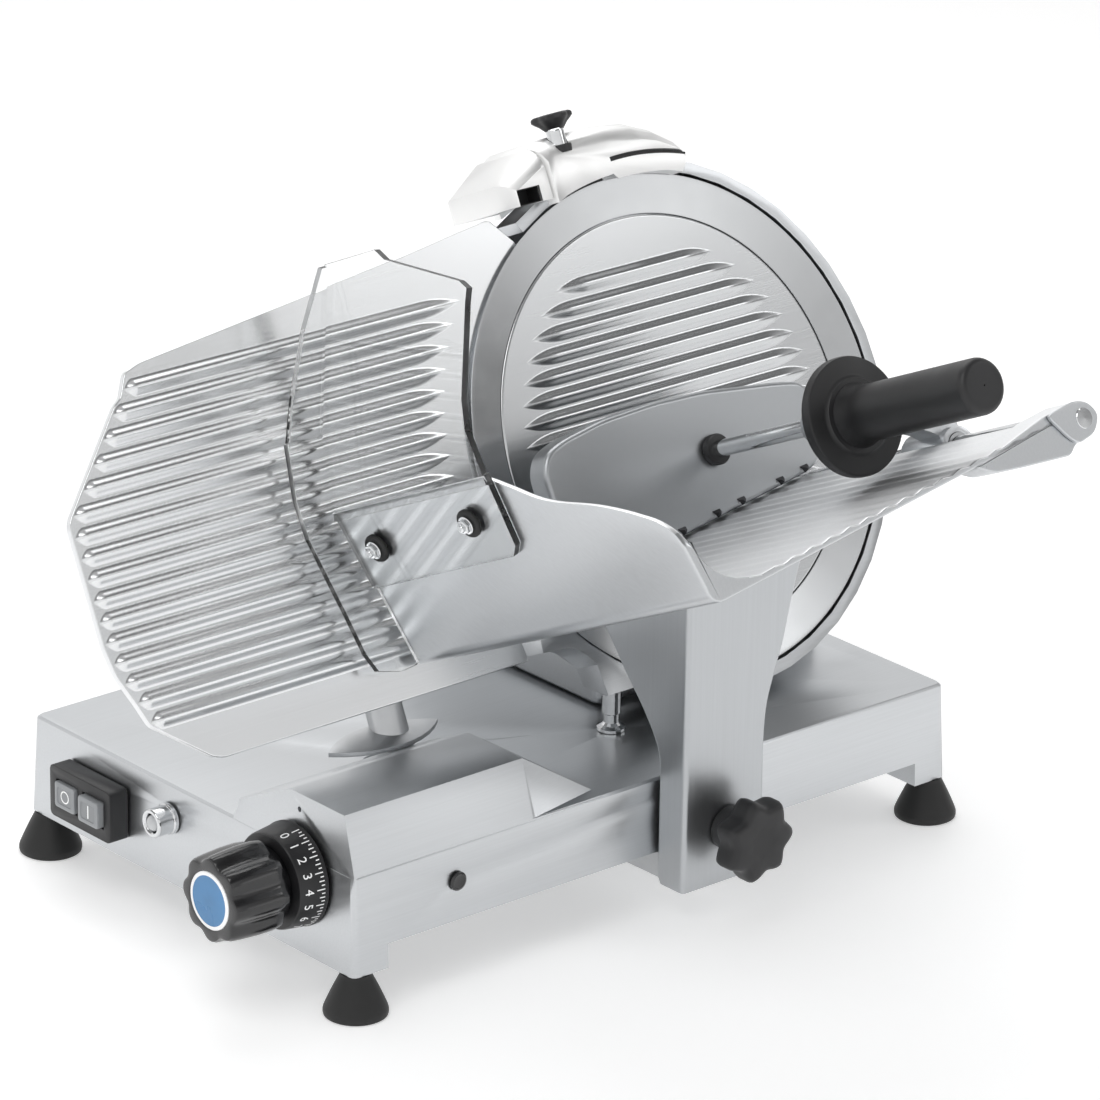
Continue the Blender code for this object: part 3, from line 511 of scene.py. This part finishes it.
def add_rib(mesh, v, start, end, tips):
    """A rounded rib along the plate that thins to a leaf tip over the given length at each end."""
    steps = 8
    stations = [(start + tips[0] * i / steps, i / steps) for i in range(steps + 1)]
    stations += [(end - tips[1] * (1 - i / steps), 1 - i / steps) for i in range(steps + 1)]
    loops = []
    for u, grown in stations:
        grown = max(grown, 0.03)
        half = RIB_HALF * math.sin(math.pi / 2 * grown) ** 0.75
        rise = RIB_RISE * grown * grown * (3 - 2 * grown)
        top = [(half * s / 8, PLATE_FACE + rise * (0.5 + 0.5 * math.cos(math.pi * s / 8)) - 0.02)
               for s in range(8, -9, -1)]
        section = [(half, PLATE_FACE - RIB_ROOT)] + top + [(-half, PLATE_FACE - RIB_ROOT)]
        loops.append([BLADE.at(u, v + dv, w) for dv, w in section])
    add_loft(mesh, loops)


def gauge_outline():
    """The plate's shape: its corner clears the sharpener and its edge lies behind the blade's."""
    top = [(-374, 99), (-367, 112), (-356, 115.5), (-241, 127.4), (-160, 136.2), (-119, 141.6),
           (-94.5, 144.3)]
    rest = [(-155, -70), (-149, -106.6), (-370, -107.4), (-377, -105.3), (-412, -79), (-417, -66),
            (-425, -48.2), (-428, -31.4), (-429, 37), (-427, 42), (-379, 96)]
    return top + arc(0, 0, GAUGE_EDGE_R, 121.6, 190, 60) + rest


def left_edge(outline, v):
    """Where the outline's left side crosses height v."""
    sides = zip(outline, outline[1:] + outline[:1])
    return min(x0 + (x1 - x0) * (v - y0) / (y1 - y0) for (x0, y0), (x1, y1) in sides if (y0 > v) != (y1 > v))


def build_gauge_plate(mesh):
    outline = gauge_outline()
    add_slab(mesh, BLADE, softened(outline, 2.5, 3), GAUGE_BACK, PLATE_FACE, 0.9)
    for i in range(GAUGE_RIBS):
        v = GAUGE_RIB_TOP - i * RIB_PITCH
        end = -math.sqrt(GAUGE_RIB_END_R ** 2 - v ** 2)
        add_rib(mesh, v, left_edge(outline, v) + 1.4, end, (8, 28))


def build_blade_cover(mesh):
    add_turned(mesh, BLADE, [(3.3, -9.2), (14, -9.2), (14, -6.4), (114, -6.2), (126.0, -4.6), (126.2, -4.1),
                             (125.6, -3.6), (124.7, PLATE_FACE), (3.3, PLATE_FACE)], 160, closed=True)
    for i in range(COVER_RIBS):
        v = COVER_RIB_TOP - i * COVER_RIB_PITCH
        half = math.sqrt(COVER_RIB_END_R ** 2 - v ** 2)
        add_rib(mesh, v, -half, half, (24, 24))


def build_blade(mesh):
    back = [(26, -13), (26, -9.5), (112, -9.5), (118, -7.2), (126.8, -7.0), (126.8, -3.9)]
    bevel = [(127.1, -3.6), (146.8, -0.7), (149.2, -0.35), (150, -0.3), (150, -0.9), (128, -9.6), (120, -13)]
    add_turned(mesh, BLADE, back + bevel, 192, closed=True)


# ---------------------------------------------------------------- tray and column

RIM_LINE = [(140, 6.0), (146, 5.2), (160, -1.5), (182, -13), (227, -24.5), (252, -33.5), (268, -42),
            (275.5, -51), (279, -62)]


def floor_under(a):
    """The height of the floor's underside."""
    return FLOOR_LOW[1] + FLOOR_SLOPE * (a - FLOOR_LOW[0])


def wall_outside(u):
    """Where the wall's outer face stands at a height."""
    return WALL_FOOT[0] - WALL_LEAN * (u - WALL_FOOT[1])


def floor_top(right, left, steps=130):
    """Points along the grooved upper face, from right to left."""
    points = []
    for i in range(steps):
        a = right - (right - left) * i / steps
        groove = 0.5 - 0.5 * math.cos(2 * math.pi * (a - left) / TRAY_RIB_PITCH)
        points.append((a, floor_under(a) + FLOOR_THICKNESS - FLOOR_GROOVE * groove))
    return points


def tray_section(top):
    """The tray cut across at one place: the ribbed floor, the fold, and the wall up to the height top."""
    low, high = -54, top - 1.6
    loop = [(40, floor_under(40)), (40, floor_under(40) + 3.4)] + floor_top(38, -186)
    loop += [(-186, floor_under(-186) + FLOOR_THICKNESS), (-196, -81.9), (-205, -81.2), (-213.5, -79.4),
             (-221, -76.4), (-227, -72.2), (-231.8, -66.6), (-235.2, -60.2)]
    inner = [low + (high - low) * i / 4 for i in range(5)]
    loop += [(wall_outside(u) + WALL_THICKNESS, u) for u in inner]
    loop += [(wall_outside(top) + WALL_THICKNESS - 0.6, top - 0.5),
             (wall_outside(top) + WALL_THICKNESS / 2, top),
             (wall_outside(top) + 0.6, top - 0.5)]
    outer = [high + (-80 - high) * i / 4 for i in range(5)]
    loop += [(wall_outside(u), u) for u in outer]
    loop += [(-234.6, -83.5), (-233.7, -86.3), (-231.5, -88.6), (-228.4, -89.8)]
    return loop + [(-224.5, floor_under(-224.5) + 0.1)]


def build_tray(mesh):
    stations = [3.0, 3.3, 4.2] + [4.2 + 2.9 * i for i in range(1, 94)] + [276.4, 277.0, 277.3]
    rounded_ends = {0: 0.9, 1: 0.35, len(stations) - 1: 0.9, len(stations) - 2: 0.35}
    loops = []
    for k, h in enumerate(stations):
        section = tray_section(curve_through(RIM_LINE, h))
        if k in rounded_ends:
            section = inset(section, rounded_ends[k])
        loops.append([BLADE.at(a, u, h) for a, u in section])
    add_loft(mesh, loops)
    block = [(-30, -61), (27, -45), (50, -41.5), (60, -43.5), (65.5, -52), (60, -61), (46, -65), (41, -70),
             (3, -68.5), (-17, -67)]
    lug = [(30, floor_under(30) + 0.5), (48, -60), (60, -60), (64, -52), (60, -44), (50, -42.5), (44, -47),
           (30, -49)]
    add_slab(mesh, BLADE, softened(block, 3.0), 257, 277.3, 1.0)
    add_slab(mesh, BLADE, softened(lug, 2.0), 3.0, 15.0, 0.8)


def column_section(z):
    """The column's plan at height z: its right side and its back sweep out towards the tray."""
    right = curve_through([(-3.5, 283.8), (60, 282.0), (80, 282.2), (100, 284.2), (115, 288.5), (135, 295.0),
                           (160, 301.0), (215, 316.0)], z)
    back = curve_through([(-3.5, -3.0), (1, -1.5), (60, -1.5), (80, 1.0), (100, 14.0), (115, 27.5),
                          (135, 44.0), (160, 64.0), (215, 90.0)], z)
    return softened(rectangle(221.0, right, -24.5, back), 3.2)


def build_column(mesh):
    levels = [(inset(column_section(-3.5), 1.0), -3.5), (inset(column_section(-3.2), 0.4), -3.2)]
    levels += [(column_section(z), z) for z in (-3.5 + 4.0 * i for i in range(1, 55))]
    add_stack(mesh, WORLD, levels)
    cut_under_tray(mesh)


def cut_under_tray(mesh):
    """Cuts the column off just below the tray's floor and closes it."""
    left, right = (BLADE.at(a, floor_under(a) - 0.3, 0) for a in (-198, 80))
    upwards = BLADE.w.cross(right - left).normalized()
    made = bmesh.ops.bisect_plane(mesh, geom=mesh.verts[:] + mesh.edges[:] + mesh.faces[:], plane_co=left,
                                  plane_no=upwards, clear_outer=True)
    edges = [item for item in made["geom_cut"] if isinstance(item, bmesh.types.BMEdge)]
    bmesh.ops.contextual_create(mesh, geom=edges)


# ---------------------------------------------------------------- press and handle

def build_press_plate(mesh):
    outline = [(-147, -73), (40, -45.6), (56, -38), (56, 0), (50, 6.5), (36, 9.4), (-23, 16.7), (-60, 18),
               (-100, 16.3), (-131, 11.3), (-144, 6.5), (-150, -4)]
    rim = softened(outline, 7.0, 6)
    core = inset(rim, 4.5)
    turns = [math.radians(15 * i) for i in range(7)]
    levels = [(core, 52.0), (core, 42.6), (inset(rim, 3.9), 42.0), (inset(rim, 0.6), 42.0), (rim, 42.6)]
    levels += [(inset(rim, 3.0 * (1 - math.cos(t))), 54.0 + 3.0 * math.sin(t)) for t in turns]
    add_stack(mesh, BLADE, levels)


def build_press_teeth(mesh):
    """Small spikes along the plate's lower edge, their steel darkened as painted shade."""
    for a in (-84, -64, -36, -16, 16, 36):
        foot = -73 + (a + 147) * 0.1465
        spike = [(a - 4.0, foot + 5.0), (a + 0.6, foot + 0.2), (a + 3.2, foot + 5.6)]
        tip = [(a - 1.0, foot + 3.4), (a + 0.4, foot + 1.8), (a + 1.2, foot + 3.6)]
        add_stack(mesh, BLADE, [(softened(spike, 0.5, 2), 56.5), (softened(tip, 0.3, 2), 60.0)])


def lobed(r, depth, count, steps, power=1.0):
    """A grip's outline with scooped flutes between its lobes."""
    points = []
    for i in range(count * steps):
        angle = 2 * math.pi * i / (count * steps)
        radius = r - depth * (0.5 - 0.5 * math.cos(count * angle)) ** power
        points.append((radius * math.cos(angle), radius * math.sin(angle)))
    return points


def lobed_levels(grip, sizes):
    """Levels of a grip from (size, w) pairs."""
    return [(scaled(grip, size), w) for size, w in sizes]


PRESS_ROD = BLADE.moved(-26.0, -18.2)


def build_press_rod(mesh):
    add_turned(mesh, PRESS_ROD, [(0.5, 57.3), (5, 57.3), (5, 250), (0.5, 250)], 48)


def build_rod_collar(mesh):
    profile = [(4.9, 57.2), (8.6, 57.2), (9.2, 57.8), (9.2, 61.0), (8.4, 62.2), (6.4, 62.6), (4.9, 62.6)]
    add_turned(mesh, PRESS_ROD, profile, 48, closed=True)


def build_disc(mesh):
    rim = [(5.3, 179), (32.6, 179), (33.6, 179.4), (34.3, 180.4), (34.5, 181.6), (34.5, 185.2), (34.0, 186.4)]
    face = [(32.8, 187.0), (24, 187.4), (22.5, 188.0), (21.5, 188.9), (5.3, 189)]
    add_turned(mesh, PRESS_ROD, rim + face, 112, closed=True)


def build_grip(mesh):
    flare = [(5.3, 189.2), (18.7, 189.2), (18.2, 190.8), (17.2, 193.6), (16.6, 197), (16.2, 201)]
    tip = [(16.2, 292.6), (15.9, 294.4), (15.1, 296.0), (13.8, 297.0), (12.2, 297.5), (0.5, 297.5)]
    bore = [(0.5, 251), (5.3, 251)]
    add_turned(mesh, PRESS_ROD, flare + tip + bore, 96, closed=True)


def build_column_knob(mesh):
    front = TO_OPERATOR.moved(254.0, 31.0)
    sizes = [(0.70, 38.0), (0.88, 38.8), (0.965, 40.6), (1.0, 43.4), (1.0, 50.6), (0.965, 53.2), (0.90, 55.0),
             (0.78, 56.0), (0.40, 56.0), (0.30, 55.4)]
    add_stack(mesh, front, lobed_levels(lobed(25.5, 4.8, 7, 14, 0.8), sizes))
    add_turned(mesh, front, [(4.0, 4.5), (4.0, 24.9), (12.6, 24.9), (13.2, 25.6), (14.5, 39)], 48)


# ---------------------------------------------------------------- dial, switch and lamp

DIAL = ALONG_X.moved(52.0, 46.5)


def build_dial_knob(mesh):
    def round_levels(sizes):
        return [(circle(0, 0, r, steps=112), w) for r, w in sizes]

    sizes = [(0.86, -60.0), (0.91, -59.3), (0.945, -57.4), (0.97, -52), (1.0, -40), (1.0, -30), (0.97, -24.5)]
    recess = round_levels([(17.3, -58.5), (17.3, -59.6), (18.2, -60.0)])
    neck = round_levels([(22.4, -21), (21.4, -18.8)])
    add_stack(mesh, DIAL, recess + lobed_levels(lobed(27, 3.2, 8, 14, 1.3), sizes) + neck)


def build_dial_skirt(mesh):
    add_turned(mesh, DIAL, [(5.3, 0.2), (30.1, 0.2), (30.5, -0.2), (30.5, -1.6), (30.1, -2.2), (28.3, -16.8),
                            (27.6, -18.2), (26.5, -18.5), (5.3, -18.5)], 128, closed=True)


def build_badge(mesh):
    add_turned(mesh, DIAL, [(0.5, -58.8), (14.7, -58.8), (14.7, -60.2), (0.5, -60.2)], 96)


def build_badge_ring(mesh):
    profile = [(14.7, -58.8), (17, -58.8), (17, -59.9), (16.5, -60.3), (14.7, -60.3)]
    add_turned(mesh, DIAL, profile, 96, closed=True)


def skirt_point(turn, along, lift):
    """On the skirt's cone: turn clockwise from the top as the operator sees it, along from the wall."""
    r = 30.1 - 0.125 * along + lift
    return DIAL.at(-r * math.sin(turn), r * math.cos(turn), -2.2 - along)


def build_scale(mesh):
    """White numerals and ticks, laid on the skirt's cone."""
    half_width = 0.011
    for i in range(15 * TICKS_PER_STEP + 1):
        turn = DIAL_STEP * i / TICKS_PER_STEP + DIAL_ZERO
        reach = (5.4, 2.4, 3.6, 2.4)[i % TICKS_PER_STEP]
        corners = [skirt_point(turn + side * half_width, along, 0.06)
                   for side, along in ((-1, 0.3), (1, 0.3), (1, reach), (-1, reach))]
        add_loft(mesh, [corners, [point - (point - DIAL.at(0, 0, -2)) * 0.004 for point in corners]])
    for number in range(16):
        add_numeral(mesh, str(number), DIAL_STEP * number + DIAL_ZERO)


def add_numeral(mesh, text, turn):
    """A number bent round the skirt, its baseline 12.8 mm from the wall."""
    letters = bpy.data.curves.new("numeral", "FONT")
    letters.body = text
    letters.size = 7.8
    letters.align_x = "CENTER"
    letters.extrude = 0.05
    holder = bpy.data.objects.new("numeral", letters)
    bpy.context.scene.collection.objects.link(holder)
    bpy.context.view_layer.update()
    shape = holder.to_mesh()
    radius = 29.0
    places = [skirt_point(turn + v.co.x / radius, 12.8 - v.co.y, 0.06 + v.co.z) for v in shape.vertices]
    made = [mesh.verts.new(place) for place in places]
    for face in shape.polygons:
        mesh.faces.new([made[i] for i in face.vertices])
    holder.to_mesh_clear()
    bpy.data.objects.remove(holder)
    bpy.data.curves.remove(letters)


def build_button(y0, face):
    """A push button whose face stands at x = face and is dished inside its rim."""
    def outline(margin):
        return softened(rectangle(y0 + 0.5 + margin, y0 + 19.5 - margin, 21 + margin, 37 - margin), 2.0)

    margins = ((0, -9.5), (0, face + 1.0), (0.3, face + 0.3), (1.0, face), (2.6, face), (3.1, face + 0.5))
    return lambda mesh: add_stack(mesh, ALONG_X, [(outline(margin), x) for margin, x in margins])


def build_off_mark(mesh):
    profile = [(3.1, -14.56), (3.9, -14.56), (3.9, -14.4), (3.1, -14.4)]
    add_turned(mesh, ALONG_X.moved(247.5, 29), profile, 40, closed=True)


def build_on_mark(mesh):
    bar = rectangle(-0.45, 0.45, -4, 4)
    add_stack(mesh, ALONG_X.moved(222.5, 29), [(bar, -16.56), (bar, -16.4)])


LAMP = ALONG_X.moved(168.0, 39.5)


def build_lamp_ring(mesh):
    profile = [(5.8, 10), (5.8, 0.7), (9.3, 0.7), (9.3, -1.6), (8.5, -2.2), (8.5, -11.6), (7.9, -12.6),
               (6.4, -12.8), (5.4, -11.6), (5.2, 10)]
    add_turned(mesh, LAMP, softened(profile, 0.35, 2), 72, closed=True)


def build_lamp_lens(mesh):
    profile = [(0.5, 6), (4.9, 6), (4.9, -10.4), (4.5, -11.6), (3.7, -12.6), (2.4, -13.3), (0.5, -13.6)]
    add_turned(mesh, LAMP, profile, 56)


def build_plug(mesh):
    profile = [(0.5, -8), (4.3, -8), (4.3, -0.9), (5.3, -0.9), (5.6, -0.5), (5.6, 0.0), (5.2, 0.5),
               (4.2, 0.8), (3.6, 0.4), (0.5, 0.4)]
    add_turned(mesh, TO_OPERATOR.moved(75, 38.3), profile, 48)


# ---------------------------------------------------------------- feet and fastenings

def build_foot(x, y):
    sole = [(0.5, -25.5), (17.2, -25.5), (18.2, -24.9), (18.5, -23.8), (18.5, -22.2), (18.1, -20.8)]
    cone = [(16.6, -17.2), (14.2, -11.8), (12.3, -7.8), (10.8, -4.8), (9.6, -2.4), (9.0, -0.9), (8.8, -0.3)]
    stud = [(4.0, -0.3), (4.0, 13), (0.5, 13)]
    return lambda mesh: add_turned(mesh, WORLD.moved(x, y), sole + cone + stud, 64)


def wall_frame(u, h):
    """On the tray wall's outer face, w pointing out to the left."""
    return Frame(BLADE.at(wall_outside(u), u, h) / MM, BLADE.w, BLADE.v - BLADE.u * WALL_LEAN)


def build_washer(spot):
    profile = [(2.8, 4.6), (8.2, 4.6), (8.5, 4.9), (8.5, 6.2), (8.2, 6.8), (7.5, 7.4), (2.8, 7.4)]
    return lambda mesh: add_turned(mesh, spot, profile, 48, closed=True)


def build_screw(spot):
    """A nut and the rounded end of the screw in front of it."""
    def build(mesh):
        hexagon = softened(circle(0, 0, 4.4, steps=6), 0.5, 3)
        shank = [(0.4, -8), (3.6, -8), (4.0, -7.6), (4.0, -4.8), (2.3, -4.8), (2.3, 7.8)]
        collar = [(5.4, 7.8), (5.4, 8.5), (5.0, 8.9), (0.4, 8.9)]
        add_turned(mesh, spot, shank + collar, 36)
        add_stack(mesh, spot, [(hexagon, 8.8), (hexagon, 11.0), (inset(hexagon, 0.6), 11.5)])
        add_turned(mesh, spot, [(2.4, 11.2), (2.4, 12.4), (2.0, 13.0), (0.4, 13.0)], 24)
    return build


def build_sharpener_knob(mesh):
    axis = Frame(BLADE.at(-30, 0, -3) / MM, BLADE.w, BLADE.u)
    stem = [(circle(0, 0, r, steps=96), w) for r, w in ((3.0, 174), (3.0, 184), (4.6, 184.3))]
    cup = [(lobed(r, depth, 6, 16), w) for w, r, depth in (
        (186.4, 6.6, 0.2), (188.6, 8.6, 0.9), (190.4, 11.0, 1.5), (191.8, 12.5, 2.0), (193.4, 12.5, 2.0),
        (194.3, 11.8, 1.8), (194.8, 10.6, 1.4), (194.8, 7.0, 0.2), (194.2, 6.0, 0.0))]
    add_stack(mesh, axis, stem + cup)


BUTTON_AXIS = Frame(BLADE.at(-39, 0, 8) / MM, BLADE.w, BLADE.u)


def build_sharpener_button(mesh):
    profile = [(0.4, 169.5), (4.0, 169.5), (4.0, 174.4), (5.1, 174.5), (5.4, 174.8), (5.4, 183.6),
               (5.1, 184.8), (4.2, 185.5), (0.4, 185.6)]
    add_turned(mesh, BUTTON_AXIS, profile, 48)


def build_button_seat(mesh):
    profile = [(5.7, 170.9), (7.6, 170.9), (7.6, 174.9), (7.1, 175.6), (5.7, 175.6)]
    add_turned(mesh, BUTTON_AXIS, profile, 48, closed=True)


def build_cover_shadows(mesh):
    """Black pieces that paint the shade inside the left cover's window and the right cover's slot."""
    window = rectangle(-82.9, -66.1, 146.6, 155.9)
    depth = [(window, 13.0), (window, 2.0), (inset(window, 0.4), 2.0), (inset(window, 0.4), 13.0)]
    add_loft(mesh, [[BLADE.at(a, u, h) for a, u in outline] for outline, h in depth], ring=True)
    add_stack(mesh, BLADE, [(window, 1.0), (window, 2.4)])
    add_swept(mesh, BLADE, [(159.3, 5.0), (161.9, 5.0), (161.9, 10.5), (159.3, 10.5)], 93.5, 72, 40)


def build_end_cap(mesh):
    outline = [(28, -45), (50, -41), (60, -43.5), (66, -52), (60, -61.5), (46, -65), (40, -60)]
    add_slab(mesh, BLADE, softened(outline, 4.5), 277.6, 280.5, 0.8)


def build_guide_rod(mesh):
    add_turned(mesh, BLADE.moved(54, -52), [(0.5, 6), (6, 6), (6, 280.9), (5.6, 281.4), (0.5, 281.5)], 48)


# ---------------------------------------------------------------- scene

def place_pieces():
    """Builds every piece that stands for a node, then finishes the nodes that stay."""
    for node, build in (
            ("gauge_plate", build_gauge_plate), ("blade_cover", build_blade_cover), ("blade", build_blade),
            ("carriage_column", build_column), ("press_plate", build_press_plate),
            ("press_rod", build_press_rod), ("handle_disc", build_disc), ("handle_grip", build_grip),
            ("column_knob", build_column_knob), ("dial_knob", build_dial_knob),
            ("dial_skirt", build_dial_skirt), ("dial_badge", build_badge),
            ("button_on", build_button(212.5, -17.0)), ("button_off", build_button(237.5, -15.0)),
            ("lamp_ring", build_lamp_ring), ("lamp_lens", build_lamp_lens),
            ("front_plug", build_plug), ("sharpener_knob", build_sharpener_knob),
            ("sharpener_button", build_sharpener_button), ("rod_end_cap", build_end_cap),
            ("guide_rod", build_guide_rod)):
        make(node, build)
    for name, x, y in (("foot_front_left", 8, 8), ("foot_front_right", 444, 8), ("foot_back_left", 8, 293),
                       ("foot_back_right", 444, 293)):
        make(name, build_foot(x, y))
    for side, u, h in (("rear", -17.3, 32.3), ("front", -15.6, 121.6)):
        make("guard_washer_" + side, build_washer(wall_frame(u, h)))
        make("guard_screw_" + side, build_screw(wall_frame(u, h)))
    widths = {"base_casting": 1.2, "motor_housing": 1.0, "blade_guard": 0.8, "press_arm": 1.0,
              "sharpener_left": 1.0, "sharpener_right": 1.0, "switch_bezel": 0.6,
              "gauge_bracket": 0.8, "carriage_slider": 0.8, "tie_rod_knob": 0.8}
    for node, width in widths.items():
        from_node(node, width)
    # The tray's faces that look up get a lighter copy of its metal, painted light
    recoat(make("tray", build_tray), "tray_floor_painted_light", faces_up)
    recoat(from_node("guard_sheet", 0.5, 2, flat=True), "sheet_edge", is_rim)
    for name, body, slot, build, material in (
            # The teeth's dark steel is painted shade
            ("press_teeth", "press", "plain_steel", build_press_teeth, "steel_painted_shade"),
            ("press_rod_collar", "press", "black_matte", build_rod_collar, "black_matte"),
            ("dial_scale", "dial", "dial_print", build_scale, "print_white"),
            ("badge_ring", "dial", "badge_blue", build_badge_ring, "print_white"),
            ("button_off_mark", "button_off", "button_grey", build_off_mark, "print_white"),
            ("button_on_mark", "button_on", "button_grey", build_on_mark, "print_white"),
            ("sharpener_button_seat", "sharpener", "black_matte", build_button_seat, "black_matte"),
            # Black pieces that paint the shade in the sharpener's window and slot
            ("sharpener_linings", "sharpener", "black_matte", build_cover_shadows, "black_matte")):
        detail(name, body, slot, build, material=material)
    for node, shape in frame["nodes"].items():
        if not shape.hide_render:
            paint(shape, node)
            shape.data.shade_smooth()


def tone_ramp(nodes, steps):
    """A grey ramp through (position, tone) steps."""
    ramp = nodes.new("ShaderNodeValToRGB")
    while len(ramp.color_ramp.elements) < len(steps):
        ramp.color_ramp.elements.new(0.5)
    for element, (position, tone) in zip(ramp.color_ramp.elements, steps):
        element.position = position
        element.color = (tone, tone, tone, 1)
    return ramp


def facing(nodes, links, direction, axis):
    """1 along the axis, 0.5 across it and 0 against it."""
    side = nodes.new("ShaderNodeVectorMath")
    side.operation = "DOT_PRODUCT"
    side.inputs[1].default_value = axis
    links.new(direction, side.inputs[0])
    centred = nodes.new("ShaderNodeMath")
    centred.operation = "MULTIPLY_ADD"
    centred.inputs[1].default_value, centred.inputs[2].default_value = 0.5, 0.5
    links.new(side.outputs["Value"], centred.inputs[0])
    return centred.outputs[0]


def combined(nodes, links, operation, first, second):
    """Two colours put together channel by channel."""
    made = nodes.new("ShaderNodeVectorMath")
    made.operation = operation
    links.new(first, made.inputs[0])
    links.new(second, made.inputs[1])
    return made.outputs["Vector"]


# How bright the surroundings are, as ramps of (position, tone)
SKY = ((0.0, 1.0), (0.53, 0.97), (0.63, 0.40), (0.72, 0.20), (0.85, 0.22), (1.0, 0.5))
ROOM = ((0.0, 1.0), (0.75, 0.94), (0.87, 0.70), (0.945, 0.46), (1.0, 0.18))
ROOM_DIM_SIDE = (0.86, -0.50, 0.0)
PANEL = ((0.975, 0.0), (0.994, 1.0))
PANEL_SIDE = (0.59, -0.807, 0.02)
# Name, place and size in metres, power in watts
LIGHTS = (("key", (-1.0, -0.5, 1.9), 1.1, 9), ("top", (0.5, 0.9, 1.7), 1.3, 11),
          ("side", (1.6, -1.2, 1.5), 0.8, 4))
LIT_POINT = Vector((0, 0, 0.2))
# The photo's camera: focal length in millimetres, place in metres, the picture's right and up
PHOTO_LENS = 206.04
PHOTO_PLACE = Vector((-2.187447, -2.528455, 1.514187))
PHOTO_RIGHT = Vector((0.76024, -0.64950, 0.01370))
PHOTO_UP = Vector((0.22714, 0.28551, 0.93107))


def studio():
    """A white floor that glows a little, a sky that is dim overhead, a low panel and three soft lights."""
    mesh = bmesh.new()
    bmesh.ops.create_grid(mesh, x_segments=1, y_segments=1, size=14.0)
    floor = new_piece("studio_floor", mesh)
    shader = Shader("floor_white", Roughness=0.9, Emission_Strength=0.37)
    shader.surface.inputs["Emission Color"].default_value = (1, 1, 1, 1)
    shader.drive(shader.blend(shader.noise(3.0), (0.90, 0.90, 0.90), (0.92, 0.92, 0.92)), "Base Color")
    floor.data.materials.append(shader.material)
    world = bpy.data.worlds.new("studio")
    bpy.context.scene.world = world
    world.use_nodes = True
    nodes, links = world.node_tree.nodes, world.node_tree.links
    direction = nodes.new("ShaderNodeTexCoord").outputs["Generated"]
    split = nodes.new("ShaderNodeSeparateXYZ")
    links.new(direction, split.inputs[0])
    sky, round_the_room = tone_ramp(nodes, SKY), tone_ramp(nodes, ROOM)
    links.new(split.outputs["Z"], sky.inputs[0])
    links.new(facing(nodes, links, direction, ROOM_DIM_SIDE), round_the_room.inputs[0])
    panel = tone_ramp(nodes, PANEL)
    links.new(facing(nodes, links, direction, PANEL_SIDE), panel.inputs[0])
    dimmed = combined(nodes, links, "MULTIPLY", sky.outputs["Color"], round_the_room.outputs["Color"])
    lit = combined(nodes, links, "ADD", dimmed, panel.outputs["Color"])
    links.new(lit, nodes["Background"].inputs["Color"])
    for name, place, size, power in LIGHTS:
        light = bpy.data.lights.new(name, "AREA")
        light.shape = "SQUARE"
        light.size = size
        light.energy = power
        lamp = bpy.data.objects.new(name, light)
        bpy.context.scene.collection.objects.link(lamp)
        lamp.location = place
        lamp.rotation_euler = (LIT_POINT - Vector(place)).to_track_quat("-Z", "Y").to_euler()


def camera():
    lens = bpy.data.cameras.new("photo_view")
    lens.lens = PHOTO_LENS
    lens.sensor_width = 36.0
    lens.clip_end = 60.0
    view = bpy.data.objects.new("photo_view", lens)
    bpy.context.scene.collection.objects.link(view)
    turn = Matrix((PHOTO_RIGHT, PHOTO_UP, PHOTO_RIGHT.cross(PHOTO_UP))).transposed()
    view.matrix_world = Matrix.Translation(PHOTO_PLACE) @ turn.to_4x4()
    bpy.context.scene.camera = view


place_pieces()
studio()
camera()
bpy.context.scene.view_settings.view_transform = "Standard"
